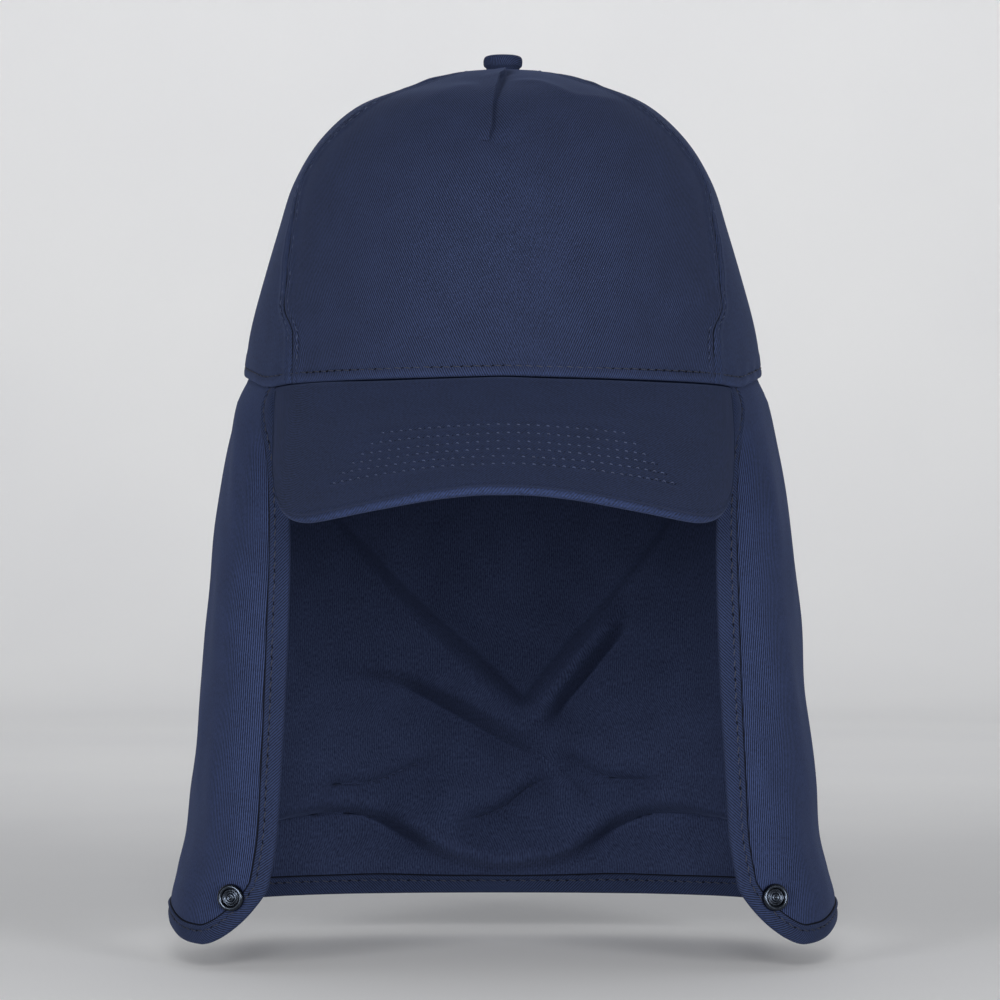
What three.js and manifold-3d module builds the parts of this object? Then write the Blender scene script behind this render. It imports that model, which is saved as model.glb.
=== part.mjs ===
// Five-panel cap with a long neck flap, in millimetres, +Z up.
// The peak points to -Y. The origin is the middle of the rim, where the head goes in.

import * as THREE from 'three';
import Module from 'manifold-3d';
import { mergeVertices } from 'three/addons/utils/BufferGeometryUtils.js';

const wasm = await Module();
wasm.setup();

// Gap kept between neighbouring pieces
const clearance = 0.3;

// Crown, measured over the outside of the cloth
const crownLength = 200;
const crownWidth = 184.2;
const crownHeight = 111;
const crownWall = 1.4;
const rimWave = 3.1; // how far the rim dips beside the peak

// Covered button and its stem through the apex
const buttonDiameter = 14;
const buttonHeight = 5.1;
const stemRadius = 2.6;
const stemPlay = 0.5; // between the stem and the apex hole
const backingRadius = 5;
const backingHeight = 1;

// Peak
const peakWidth = 159.6;
const peakReach = 63; // from the rim to the front edge, seen from above
const peakThickness = 3;
const peakTuck = 3.2; // how far it runs in under the rim
const peakPlay = 0.65; // between the rim and the top of the peak
const peakSlope = 0.6; // fall for each millimetre forward, at the middle
const camberSlope = 0.105; // extra fall at the reference width below
const camberWidth = 64;

// Neck flap and the tape that binds its edge
const flapDepth = 191; // from the rim to the bound hem at the back
const flapWidth = 237.2; // over the cloth at the hem
const flapRearReach = 99; // from the middle to the back of the hem
const flapFrontReach = 80; // half length of the front section at the hem
const frontTurn = 0.95; // how far the front edges turn to face forwards
const rearBow = 0.6; // how far the back is flatter than an ellipse
const rimFade = 3; // the rim's wave is gone at one part in so many of the depth
const flapWall = 1.2;
const flapTuck = 8; // how far it runs up inside the crown
const tuckPlay = 0.6; // between the flap and the crown's inside
const lobeDrop = 6; // how far the front corners hang below the back hem
const cornerRise = 20;
const cornerAngle = 17.5; // degrees of the section that the round corner takes
const cornerPower = 1.6; // 2 is an ellipse, 1 is a straight cut
const foldRise = 6;
const foldWidth = 11;
const bindingCloth = 1;
const bindingWidth = 6.7;
const bindingPlay = 0.55; // between the tape and the faces of the flap

// Snaps at the front corners of the flap
const snapRadius = 4.8;
const snapHeight = 2.1;
const snapAngle = 52.9;
const snapRise = 11.1; // above the level of the bound hem at the back
const snapSink = 0.5; // height of its underside over the flap's face
const shankRadius = 1.5;
const plateThickness = 0.7;

// Crown sections from the rim to the apex. climb is the share of the way up the cloth; height,
// side, front and back are shares of the crown's sizes; the seams are degrees from the front.
const crownSections = [
  { climb: 0.0, height: 0.0, side: 1.0, front: 1.0, back: 1.0, frontSeam: 52, sideSeam: 114 },
  { climb: 0.114, height: 0.162, side: 0.971, front: 0.985, back: 0.99, frontSeam: 53.5, sideSeam: 114 },
  { climb: 0.23, height: 0.324, side: 0.918, front: 0.953, back: 0.948, frontSeam: 61.5, sideSeam: 114 },
  { climb: 0.347, height: 0.486, side: 0.863, front: 0.897, back: 0.876, frontSeam: 66.5, sideSeam: 115 },
  { climb: 0.453, height: 0.631, side: 0.803, front: 0.819, back: 0.778, frontSeam: 70.5, sideSeam: 116 },
  { climb: 0.57, height: 0.775, side: 0.697, front: 0.69, back: 0.633, frontSeam: 70.5, sideSeam: 117 },
  { climb: 0.684, height: 0.885, side: 0.543, front: 0.525, back: 0.468, frontSeam: 68, sideSeam: 118 },
  { climb: 0.8, height: 0.951, side: 0.351, front: 0.339, back: 0.298, frontSeam: 67, sideSeam: 118 },
  { climb: 0.91, height: 0.988, side: 0.159, front: 0.153, back: 0.132, frontSeam: 68, sideSeam: 118 },
  { climb: 1.0, height: 1.0, side: 0.0, front: 0.0, back: 0.0, frontSeam: 70, sideSeam: 118 },
];

// Height of the rim at angles from the front, as shares of rimWave
const rimLine = [
  { angle: 0, lift: -0.17 },
  { angle: 22, lift: -0.42 },
  { angle: 40, lift: -0.58 },
  { angle: 54, lift: -0.78 },
  { angle: 64, lift: -1 },
  { angle: 72, lift: -0.35 },
  { angle: 81, lift: 0.22 },
  { angle: 92, lift: 0.47 },
  { angle: 135, lift: 0.4 },
  { angle: 180, lift: 0.32 },
];

// Half outline of the peak from above: side is a share of the half width, reach of peakReach.
// along runs from the middle of the front edge round to the rim.
const peakOutline = [
  { along: 0.0, side: 0.0, reach: 1.0 },
  { along: 0.14, side: 0.25, reach: 0.965 },
  { along: 0.28, side: 0.47, reach: 0.89 },
  { along: 0.4, side: 0.655, reach: 0.76 },
  { along: 0.5, side: 0.795, reach: 0.6 },
  { along: 0.59, side: 0.885, reach: 0.42 },
  { along: 0.68, side: 0.94, reach: 0.22 },
  { along: 0.78, side: 0.972, reach: -0.02 },
  { along: 0.89, side: 0.99, reach: -0.36 },
  { along: 1.0, side: 1.0, reach: -0.73 },
];

// Sections of the flap: down is a share of its depth, spread of the way from the crown's width
// to the flap's, narrow and flat of the way to its front and rear shapes, edge in degrees.
const flapSections = [
  { down: 0.0, spread: 0.0, narrow: 0.0, flat: 0.0, edge: 61.5 },
  { down: 0.02, spread: 0.08, narrow: 0.02, flat: 0.03, edge: 61.5 },
  { down: 0.05, spread: 0.175, narrow: 0.06, flat: 0.08, edge: 60.5 },
  { down: 0.12, spread: 0.28, narrow: 0.25, flat: 0.18, edge: 52 },
  { down: 0.2, spread: 0.375, narrow: 0.5, flat: 0.3, edge: 48.5 },
  { down: 0.3, spread: 0.455, narrow: 0.75, flat: 0.45, edge: 46.5 },
  { down: 0.44, spread: 0.565, narrow: 0.95, flat: 0.65, edge: 45.2 },
  { down: 0.6, spread: 0.65, narrow: 1.0, flat: 0.85, edge: 44.8 },
  { down: 0.74, spread: 0.72, narrow: 1.0, flat: 0.95, edge: 44.9 },
  { down: 0.84, spread: 0.775, narrow: 1.0, flat: 1.0, edge: 45 },
  { down: 0.91, spread: 0.89, narrow: 1.0, flat: 1.0, edge: 45 },
  { down: 0.96, spread: 0.985, narrow: 1.0, flat: 1.0, edge: 45 },
  { down: 1.05, spread: 1.0, narrow: 1.0, flat: 1.0, edge: 45 },
];

// Extra drop of the hem at angles from the front, as shares of lobeDrop
const hemLine = [
  { angle: 45, drop: 1 },
  { angle: 60, drop: 1 },
  { angle: 65, drop: 0.97 },
  { angle: 70, drop: 0.88 },
  { angle: 75, drop: 0.64 },
  { angle: 80, drop: 0.36 },
  { angle: 86, drop: 0.12 },
  { angle: 94, drop: 0 },
  { angle: 180, drop: 0 },
];

// Folds across the back of the flap. across is -1 at the left front edge, 0 at the middle of the
// back and 1 at the right front edge; down is a share of the depth; rise, towards the head, is
// a share of foldRise and width a share of foldWidth.
const flapFolds = [
  { across: -0.27, down: 0.29, toAcross: -0.1, toDown: 0.44, width: 0.8, rise: -0.5 },
  { across: -0.16, down: 0.42, toAcross: 0.0, toDown: 0.64, width: 0.8, rise: 0.6 },
  { across: 0.19, down: 0.39, toAcross: 0.05, toDown: 0.6, width: 0.7, rise: -0.5 },
  { across: 0.2, down: 0.45, toAcross: 0.06, toDown: 0.65, width: 0.8, rise: 0.6 },
  { across: -0.01, down: 0.3, toAcross: 0.03, toDown: 0.48, width: 2.0, rise: -0.7 },
  { across: -0.29, down: 0.5, toAcross: -0.12, toDown: 0.6, width: 0.9, rise: 0.5 },
  { across: -0.12, down: 0.6, toAcross: 0.06, toDown: 0.68, width: 0.9, rise: 0.6 },
  { across: -0.36, down: 0.87, toAcross: -0.23, toDown: 0.84, width: 0.9, rise: -0.7 },
  { across: -0.23, down: 0.84, toAcross: -0.11, toDown: 0.91, width: 0.9, rise: -0.7 },
  { across: 0.37, down: 0.87, toAcross: 0.23, toDown: 0.84, width: 0.9, rise: -0.7 },
  { across: 0.23, down: 0.84, toAcross: 0.12, toDown: 0.91, width: 0.9, rise: -0.7 },
  { across: -0.15, down: 0.82, toAcross: 0.05, toDown: 0.88, width: 1.0, rise: 0.7 },
  { across: 0.05, down: 0.88, toAcross: 0.15, toDown: 0.83, width: 1.0, rise: 0.6 },
];

// Steps of the meshes
const crownRows = 11;
const frontColumns = 16;
const sideColumns = 9;
const backColumns = 10;
const peakColumns = 24;
const peakRows = 5;
const flapColumns = 50;
const flapRows = 18;
const buttonSides = 20;
const snapSides = 18;

const apexHole = stemRadius + stemPlay;
const backAngle = 180; // the middle of the back, from the front
const bindingReach = clearance + bindingCloth;
const clothDepth = flapDepth - bindingReach;
const snapDrop = flapDepth - snapRise;
const { clamp, degToRad, lerp } = THREE.MathUtils;

// Smooth value of one column of a table at a value of its key column
function readTable(rows, key, column, at) {
  const last = rows.length - 1;
  const place = clamp(at, rows[0][key], rows[last][key]);
  let low = 0;
  while (low < last - 1 && rows[low + 1][key] < place) low += 1;
  const slope = (i) => {
    const before = rows[Math.max(i - 1, 0)];
    const after = rows[Math.min(i + 1, last)];
    return (after[column] - before[column]) / (after[key] - before[key]);
  };
  const span = rows[low + 1][key] - rows[low][key];
  const s = (place - rows[low][key]) / span;
  const start = rows[low][column] * (1 + 2 * s) * (1 - s) ** 2 + slope(low) * span * s * (1 - s) ** 2;
  const end = rows[low + 1][column] * (3 - 2 * s) * s * s - slope(low + 1) * span * (1 - s) * s * s;
  return start + end;
}

// Unit normal of a surface, which points along its u step crossed with its v step
function normalAt(surface, u, v) {
  const step = 1e-4;
  const alongU = surface(u + step, v).sub(surface(u - step, v));
  const alongV = surface(u, v + step).sub(surface(u, v - step));
  return alongU.cross(alongV).normalize();
}

function geometryFrom(points, faces) {
  const geometry = new THREE.BufferGeometry();
  geometry.setAttribute('position', new THREE.Float32BufferAttribute(points.flatMap((p) => [...p]), 3));
  geometry.setIndex(faces);
  geometry.computeVertexNormals();
  return geometry;
}

// Closed wall under a surface, which is read at the given shares of u and v
function shellGeometry(surface, wall, uStops, vStops) {
  const points = [];
  for (const inset of [0, wall]) {
    for (const v of vStops) {
      for (const u of uStops) {
        points.push(surface(u, v).addScaledVector(normalAt(surface, u, v), -inset));
      }
    }
  }
  const wide = uStops.length;
  const high = vStops.length;
  const outer = (i, j) => j * wide + i;
  const inner = (i, j) => (high + j) * wide + i;
  const faces = [];
  const quad = (a, b, c, d) => faces.push(a, b, c, a, c, d);
  for (let j = 0; j < high - 1; j += 1) {
    for (let i = 0; i < wide - 1; i += 1) {
      quad(outer(i, j), outer(i + 1, j), outer(i + 1, j + 1), outer(i, j + 1));
      quad(inner(i, j), inner(i, j + 1), inner(i + 1, j + 1), inner(i + 1, j));
    }
    quad(outer(0, j), outer(0, j + 1), inner(0, j + 1), inner(0, j));
    quad(outer(wide - 1, j), inner(wide - 1, j), inner(wide - 1, j + 1), outer(wide - 1, j + 1));
  }
  for (let i = 0; i < wide - 1; i += 1) {
    quad(outer(i, 0), inner(i, 0), inner(i + 1, 0), outer(i + 1, 0));
    quad(outer(i, high - 1), outer(i + 1, high - 1), inner(i + 1, high - 1), inner(i, high - 1));
  }
  return geometryFrom(points, faces);
}

const evenStops = (count) => Array.from({ length: count + 1 }, (_, i) => i / count);

// Height of the rim at an angle from the front
function rimHeight(angle) {
  const turned = THREE.MathUtils.euclideanModulo(angle + backAngle, 2 * backAngle);
  return rimWave * readTable(rimLine, 'angle', 'lift', Math.abs(turned - backAngle));
}

// Point of the crown's outside at an angle from the front and a share of the climb
function crownPoint(angle, climb) {
  const turn = degToRad(angle);
  const read = (column) => readTable(crownSections, 'climb', column, climb);
  const side = lerp(apexHole, crownWidth / 2, read('side'));
  const end = lerp(apexHole, crownLength / 2, read(Math.cos(turn) > 0 ? 'front' : 'back'));
  const height = read('height');
  const z = crownHeight * height + rimHeight(angle) * (1 - height) ** 2;
  return new THREE.Vector3(side * Math.sin(turn), -end * Math.cos(turn), z);
}

// Panel between two seams, each given as a function of the climb
function panelGeometry(fromSeam, toSeam, columns) {
  const surface = (u, climb) => {
    const pull = (seam) => {
      const edge = crownPoint(seam, climb);
      return THREE.MathUtils.radToDeg(clearance / 2 / Math.hypot(edge.x, edge.y));
    };
    const from = fromSeam(climb);
    const to = toSeam(climb);
    return crownPoint(lerp(from + pull(from), to - pull(to), u), climb);
  };
  return shellGeometry(surface, crownWall, evenStops(columns), evenStops(crownRows));
}

const frontSeam = (climb) => readTable(crownSections, 'climb', 'frontSeam', climb);
const sideSeam = (climb) => readTable(crownSections, 'climb', 'sideSeam', climb);
const backSeam = () => backAngle;
const mirrored = (seam) => (climb) => -seam(climb);

function buttonGeometry() {
  const seat = crownHeight + clearance;
  const radius = buttonDiameter / 2;
  const backing = crownHeight - crownWall - 2 * clearance;
  const profile = [
    [0, backing - backingHeight],
    [backingRadius, backing - backingHeight],
    [backingRadius, backing],
    [stemRadius, backing],
    [stemRadius, seat],
    [0.9 * radius, seat],
    [radius, seat + 0.3 * buttonHeight],
    [radius, seat + 0.5 * buttonHeight],
    [0.92 * radius, seat + 0.78 * buttonHeight],
    [0.7 * radius, seat + 0.94 * buttonHeight],
    [0, seat + buttonHeight],
  ];
  const geometry = new THREE.LatheGeometry(profile.map(([r, h]) => new THREE.Vector2(r, h)), buttonSides);
  return geometry.rotateX(Math.PI / 2);
}

// Crown rim seen from above: its y at a given x, on an ellipse drawn in by an inset
function rimFront(x, inset) {
  const share = clamp(x / (crownWidth / 2 - inset), -1, 1);
  return -(crownLength / 2 - inset) * Math.sqrt(1 - share * share);
}

// Top of the peak: u runs from left to right along its outline, v from the edge to the root
function peakSurface(u, v) {
  const along = Math.abs(2 * u - 1);
  const hand = Math.sign(2 * u - 1);
  const edgeX = hand * (peakWidth / 2) * readTable(peakOutline, 'along', 'side', along);
  const reach = peakReach * readTable(peakOutline, 'along', 'reach', along);
  const edgeY = -crownLength / 2 - reach;
  const rootX = edgeX * (crownWidth / 2 - peakTuck) / (crownWidth / 2);
  const x = lerp(edgeX, rootX, v);
  const y = lerp(edgeY, rimFront(rootX, peakTuck), v);
  const forward = Math.max(rimFront(x, 0) - y, 0);
  const fall = peakSlope + camberSlope * (x / camberWidth) ** 2;
  const angle = THREE.MathUtils.radToDeg(Math.asin(clamp(x / (crownWidth / 2), -1, 1)));
  return new THREE.Vector3(x, y, rimHeight(angle) - peakPlay - forward * fall);
}

function peakGeometry() {
  return shellGeometry(peakSurface, peakThickness, evenStops(peakColumns), evenStops(peakRows));
}

// Rise of all folds at a place on the flap, from the distance to each fold's line
function foldHeight(across, down) {
  const arc = (flapWidth / 2) * (Math.PI * 0.75);
  let rise = 0;
  for (const fold of flapFolds) {
    const runX = (fold.toAcross - fold.across) * arc;
    const runY = (fold.toDown - fold.down) * flapDepth;
    const x = (across - fold.across) * arc;
    const y = (down - fold.down) * flapDepth;
    const share = clamp((x * runX + y * runY) / (runX * runX + runY * runY), 0, 1);
    const away = Math.hypot(x - share * runX, y - share * runY) / (fold.width * foldWidth);
    rise += foldRise * fold.rise * Math.exp(-away * away);
  }
  return rise;
}

// Smooth outside of the flap without its folds. Above the rim it follows the crown's inside.
function flapBase(angle, depth) {
  const turn = degToRad(angle);
  const down = depth / flapDepth;
  const read = (column) => readTable(flapSections, 'down', column, down);
  const inset = crownWall + tuckPlay;
  const climb = Math.max(-depth, 0) / crownHeight * (crownSections[1].climb / crownSections[1].height);
  const tuck = (column) => readTable(crownSections, 'climb', column, climb);
  const side = lerp(crownWidth / 2 * tuck('side') - inset, flapWidth / 2, read('spread'));
  const front = lerp(crownLength / 2 * tuck('front') - inset, flapFrontReach, read('narrow'));
  const rear = lerp(crownLength / 2 * tuck('back') - inset, flapRearReach, read('flat'));
  const c = Math.cos(turn);
  const edge = Math.cos(degToRad(read('edge')));
  const faced = edge * Math.sin(Math.PI / 2 * clamp(c / edge, 0, 1));
  const forward = lerp(c, faced, frontTurn * read('narrow'));
  const bow = rearBow * read('flat') * (Math.sin(-c * Math.PI / 2) + c);
  const y = c > 0 ? -front * forward : rear * (bow - c);
  const z = rimHeight(angle) * clamp(1 - down * rimFade, 0, 1) - depth;
  return new THREE.Vector3(side * Math.sin(turn), y, z);
}

// Outside of the flap: u runs from the right front edge round the back to the left one
function flapPoint(u, depth) {
  const edge = readTable(flapSections, 'down', 'edge', depth / flapDepth);
  const base = (share, at) => flapBase(lerp(edge, 2 * backAngle - edge, share), at);
  const normal = normalAt((share, up) => base(share, -up), u, -depth);
  return base(u, depth).addScaledVector(normal, -foldHeight(1 - 2 * u, depth / flapDepth));
}

// Depth of the flap's cloth at a share of the way round it
function hemDepth(u) {
  const edge = readTable(flapSections, 'down', 'edge', 1);
  const angle = lerp(edge, backAngle, 1 - Math.abs(1 - 2 * u));
  const drop = lobeDrop * readTable(hemLine, 'angle', 'drop', angle);
  const corner = clamp(1 - (angle - edge) / cornerAngle, 0, 1);
  return clothDepth + drop - cornerRise * (1 - (1 - corner ** cornerPower) ** (1 / cornerPower));
}

// Places round the flap, closer together at the round corners
const cornerStops = [0, 0.0115, 0.028, 0.052];
const middleStops = evenStops(flapColumns - 2 * cornerStops.length).map((s) => lerp(0.078, 0.922, s));
const flapStops = [...cornerStops, ...middleStops, ...cornerStops.map((s) => 1 - s).reverse()];

// Rows of the flap from the hem up, with two of them close to the crown's rim
const rimShare = flapTuck / (flapTuck + clothDepth);
const belowRim = 1.55 * rimShare;
const bandShare = (bindingWidth - bindingReach) / (flapTuck + clothDepth);
const clearRows = evenStops(flapRows).map((s) => lerp(bandShare, 1 - belowRim, s));
const flapRowStops = [0, ...clearRows, 1 - rimShare, 1];

function flapGeometry() {
  const surface = (u, v) => flapPoint(u, lerp(hemDepth(u), -flapTuck, v));
  return shellGeometry(surface, flapWall, flapStops, flapRowStops);
}

// Binding tape, folded over the flap's edge from one end of the front edge to the other
function bindingGeometry() {
  const edgeRows = flapRowStops.slice(1, clearRows.length);
  const edgePlace = (u, v) => [u, lerp(hemDepth(u), -flapTuck, v)];
  const path = [
    ...edgeRows.map((v) => edgePlace(0, v)).reverse(),
    ...flapStops.map((u) => edgePlace(u, 0)),
    ...edgeRows.map((v) => edgePlace(1, v)),
  ];
  const outer = bindingPlay + bindingCloth;
  const under = -flapWall - bindingPlay;
  const middle = -flapWall / 2;
  const section = [
    [bindingWidth - bindingReach, outer],
    [0, outer],
    [-bindingReach, middle + bindingCloth / 2],
    [-bindingReach, middle - bindingCloth / 2],
    [0, under - bindingCloth],
    [bindingWidth - bindingReach, under - bindingCloth],
    [bindingWidth - bindingReach, under],
    [-clearance, under],
    [-clearance, bindingPlay],
    [bindingWidth - bindingReach, bindingPlay],
  ];
  const points = [];
  path.forEach(([u, depth], i) => {
    const before = path[Math.max(i - 1, 0)];
    const after = path[Math.min(i + 1, path.length - 1)];
    const along = flapPoint(...after).sub(flapPoint(...before)).normalize();
    const normal = normalAt((share, up) => flapPoint(share, -up), u, -depth);
    const inward = normal.clone().cross(along).normalize();
    for (const [inset, lift] of section) points.push(slide(u, depth, inward, inset, lift));
  });
  const sides = section.length;
  const faces = [];
  for (let i = 0; i < path.length - 1; i += 1) {
    for (let k = 0; k < sides; k += 1) {
      const next = (k + 1) % sides;
      const [a, b, c, d] = [i * sides + k, i * sides + next, (i + 1) * sides + next, (i + 1) * sides + k];
      const onHem = i >= edgeRows.length && i < edgeRows.length + flapStops.length - 1;
      const intoCloth = section[next][0] > section[k][0];
      if (onHem === intoCloth) faces.push(a, b, c, a, c, d);
      else faces.push(a, b, d, b, c, d);
    }
  }
  const flat = section.map(([x, y]) => new THREE.Vector2(x, y));
  const start = (path.length - 1) * sides;
  for (const [a, b, c] of THREE.ShapeUtils.triangulateShape(flat, [])) {
    faces.push(c, b, a, start + a, start + b, start + c);
  }
  return outward(geometryFrom(points, faces));
}

// Point reached from a place on the flap by going inwards along its cloth and then off its face
function slide(u, depth, inward, inset, lift) {
  const step = 1e-3;
  const here = flapPoint(u, depth);
  const alongU = flapPoint(u + step, depth).sub(here).divideScalar(step);
  const alongDepth = flapPoint(u, depth + step).sub(here).divideScalar(step);
  const uu = alongU.dot(alongU);
  const ud = alongU.dot(alongDepth);
  const dd = alongDepth.dot(alongDepth);
  const gainU = inward.dot(alongU);
  const gainDepth = inward.dot(alongDepth);
  const scale = inset / (uu * dd - ud * ud);
  const newU = u + scale * (gainU * dd - gainDepth * ud);
  const newDepth = depth + scale * (gainDepth * uu - gainU * ud);
  const normal = normalAt((share, up) => flapPoint(share, -up), newU, -newDepth);
  return flapPoint(newU, newDepth).addScaledVector(normal, lift);
}

// Same body with its faces turned to the outside
function outward(geometry) {
  const place = geometry.getAttribute('position');
  const index = geometry.getIndex().array;
  const corner = (i) => new THREE.Vector3().fromBufferAttribute(place, index[i]);
  let volume = 0;
  for (let i = 0; i < index.length; i += 3) volume += corner(i).dot(corner(i + 1).cross(corner(i + 2)));
  if (volume < 0) index.reverse();
  return geometry;
}

// Snap on its axis, with h = 0 at the flap's outer face, grown all round by a margin
function snapProfile(margin) {
  const seat = snapSink - margin;
  const plate = -flapWall - snapSink + margin;
  const top = snapSink + snapHeight;
  const outside = [
    [0, plate - plateThickness - 2 * margin],
    [0.92 * snapRadius + margin, plate - plateThickness - 2 * margin],
    [0.92 * snapRadius + margin, plate],
    [shankRadius + margin, plate],
    [shankRadius + margin, seat],
    [snapRadius + margin, seat],
  ];
  if (margin > 0) return [...outside, [snapRadius + margin, top + margin], [0, top + margin]];
  return [
    ...outside,
    [snapRadius, snapSink + 0.55 * snapHeight],
    [0.86 * snapRadius, top],
    [0.68 * snapRadius, top],
    [0.56 * snapRadius, snapSink + 0.5 * snapHeight],
    [0.3 * snapRadius, snapSink + 0.5 * snapHeight],
    [0.26 * snapRadius, snapSink + 0.85 * snapHeight],
    [0, snapSink + 0.85 * snapHeight],
  ];
}

// Snap body on the left (hand -1) or right (hand 1) front corner of the flap
function snapGeometry(hand, margin) {
  const edge = readTable(flapSections, 'down', 'edge', snapDrop / flapDepth);
  const share = (snapAngle - edge) / (2 * backAngle - 2 * edge);
  const u = hand > 0 ? share : 1 - share;
  const normal = normalAt((s, up) => flapPoint(s, -up), u, -snapDrop);
  const profile = snapProfile(margin).map(([r, h]) => new THREE.Vector2(r, h));
  const geometry = new THREE.LatheGeometry(profile, snapSides);
  geometry.applyQuaternion(new THREE.Quaternion().setFromUnitVectors(new THREE.Vector3(0, 1, 0), normal));
  const place = flapPoint(u, snapDrop);
  return geometry.translate(place.x, place.y, place.z);
}

function solidOf(geometry) {
  geometry.deleteAttribute('normal');
  geometry.deleteAttribute('uv');
  const merged = outward(mergeVertices(geometry));
  const vertProperties = new Float32Array(merged.getAttribute('position').array);
  const triVerts = new Uint32Array(merged.getIndex().array);
  return new wasm.Manifold(new wasm.Mesh({ numProp: 3, vertProperties, triVerts }));
}

// Piece of cloth with the seats and shank holes of both snaps cut out of it
function cutForSnaps(geometry) {
  let solid = solidOf(geometry);
  for (const hand of [-1, 1]) solid = solid.subtract(solidOf(snapGeometry(hand, clearance)));
  const { vertProperties, triVerts } = solid.getMesh();
  const result = new THREE.BufferGeometry();
  result.setAttribute('position', new THREE.BufferAttribute(vertProperties, 3));
  result.setIndex(new THREE.BufferAttribute(triVerts, 1));
  result.computeVertexNormals();
  return result;
}

const navyTwill = { color: '#2e3853', roughness: 0.92, metalness: 0 };
const flapTwill = { color: '#2b3550', roughness: 0.92, metalness: 0 };
const bindingTwill = { color: '#28324b', roughness: 0.9, metalness: 0 };
const blackNickel = { color: '#373e49', roughness: 0.3, metalness: 1 };

const cap = new THREE.Group();

function addPiece(name, geometry, look) {
  const mesh = new THREE.Mesh(geometry, new THREE.MeshStandardMaterial(look));
  mesh.name = name;
  cap.add(mesh);
}

addPiece('front_panel', panelGeometry(mirrored(frontSeam), frontSeam, frontColumns), navyTwill);
addPiece('side_panel_right', panelGeometry(frontSeam, sideSeam, sideColumns), navyTwill);
addPiece('side_panel_left', panelGeometry(mirrored(sideSeam), mirrored(frontSeam), sideColumns), navyTwill);
addPiece('back_panel_right', panelGeometry(sideSeam, backSeam, backColumns), navyTwill);
addPiece('back_panel_left', panelGeometry(mirrored(backSeam), mirrored(sideSeam), backColumns), navyTwill);
addPiece('top_button', buttonGeometry(), navyTwill);
addPiece('peak', peakGeometry(), navyTwill);
addPiece('neck_flap', cutForSnaps(flapGeometry()), flapTwill);
addPiece('flap_binding', cutForSnaps(bindingGeometry()), bindingTwill);
addPiece('snap_left', snapGeometry(-1, 0), blackNickel);
addPiece('snap_right', snapGeometry(1, 0), blackNickel);

export default cap;
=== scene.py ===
import math

import bpy
import numpy as np
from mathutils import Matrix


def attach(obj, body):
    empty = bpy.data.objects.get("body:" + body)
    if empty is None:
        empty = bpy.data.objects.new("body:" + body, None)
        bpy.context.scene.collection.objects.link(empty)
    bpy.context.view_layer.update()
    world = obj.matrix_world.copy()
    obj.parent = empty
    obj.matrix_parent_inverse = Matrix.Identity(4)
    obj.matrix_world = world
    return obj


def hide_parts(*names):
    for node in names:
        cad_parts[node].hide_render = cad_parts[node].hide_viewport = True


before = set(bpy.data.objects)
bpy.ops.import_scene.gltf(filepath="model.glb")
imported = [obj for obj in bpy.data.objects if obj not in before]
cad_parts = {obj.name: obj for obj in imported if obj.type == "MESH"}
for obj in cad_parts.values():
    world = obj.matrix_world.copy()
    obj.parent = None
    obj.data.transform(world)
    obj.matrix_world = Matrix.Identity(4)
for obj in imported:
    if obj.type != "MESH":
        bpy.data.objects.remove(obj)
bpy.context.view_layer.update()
print("frame loaded:", len(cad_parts), "nodes")

millimetre = 0.001
scene = bpy.context.scene


# camera, level and straight in front, as in the photograph

cameraSettings = {
    "place": (-1.07, -1700.0, -42.5),  # mm
    "lens": 171.36,  # mm, on a sensor 36 mm wide
    "sensor": 36.0,
    "far": 30.0,  # m
}


def makeCamera(settings):
    data = bpy.data.cameras.new("camera")
    data.lens = settings["lens"]
    data.sensor_width = settings["sensor"]
    data.clip_end = settings["far"]
    camera = bpy.data.objects.new("camera", data)
    camera.location = [value * millimetre for value in settings["place"]]
    camera.rotation_euler = (math.pi / 2, 0, 0)
    scene.collection.objects.link(camera)
    scene.camera = camera


makeCamera(cameraSettings)


# tables and small number helpers


def table(names, *rows):
    return {name: np.array(values, float) for name, values in zip(names.split(), zip(*rows))}


def readTable(rows, key, column, at):
    # cubic through the rows, each slope taken from the rows on both sides of it
    knots, values = rows[key], rows[column]
    last = len(knots) - 1
    index = np.arange(last + 1)
    before, after = np.maximum(index - 1, 0), np.minimum(index + 1, last)
    slopes = (values[after] - values[before]) / (knots[after] - knots[before])
    place = np.clip(at, knots[0], knots[-1])
    low = np.clip(np.searchsorted(knots, place) - 1, 0, last - 1)
    span = knots[low + 1] - knots[low]
    s = (place - knots[low]) / span
    start = values[low] * (1 + 2 * s) * (1 - s) ** 2 + slopes[low] * span * s * (1 - s) ** 2
    end = values[low + 1] * (3 - 2 * s) * s * s - slopes[low + 1] * span * (1 - s) * s * s
    return start + end


def smooth(low, high, at):
    # 0 below low, 1 above high, and an s-curve between
    s = np.clip((at - low) / (high - low), 0, 1)
    return s * s * (3 - 2 * s)


def bell(at, width):
    return np.exp(-((at / width) ** 2))


def mix(a, b, share):
    return a + (b - a) * share


def unit(vectors):
    return vectors / np.maximum(np.linalg.norm(vectors, axis=-1, keepdims=True), 1e-12)


def normalAt(surface, u, v, stepU=1e-3, stepV=1e-3):
    # the surface's u direction crossed with its v direction
    alongU = surface(u + stepU, v) - surface(u - stepU, v)
    alongV = surface(u, v + stepV) - surface(u, v - stepV)
    return unit(np.cross(alongU, alongV))


def runningLength(points, axis):
    # distance along the grid lines from their first point
    steps = np.linalg.norm(np.diff(points, axis=axis), axis=-1)
    start = np.zeros_like(np.take(steps, [0], axis=axis))
    return np.concatenate([start, np.cumsum(steps, axis=axis)], axis=axis)


def curveThrough(points, count):
    # smooth line of count points through the given ones
    points = np.array(points, float)
    columns = {"stop": np.arange(len(points), dtype=float), 0: points[:, 0], 1: points[:, 1]}
    at = np.linspace(0, len(points) - 1, count)
    return np.stack([readTable(columns, "stop", k, at) for k in (0, 1)], -1)


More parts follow.
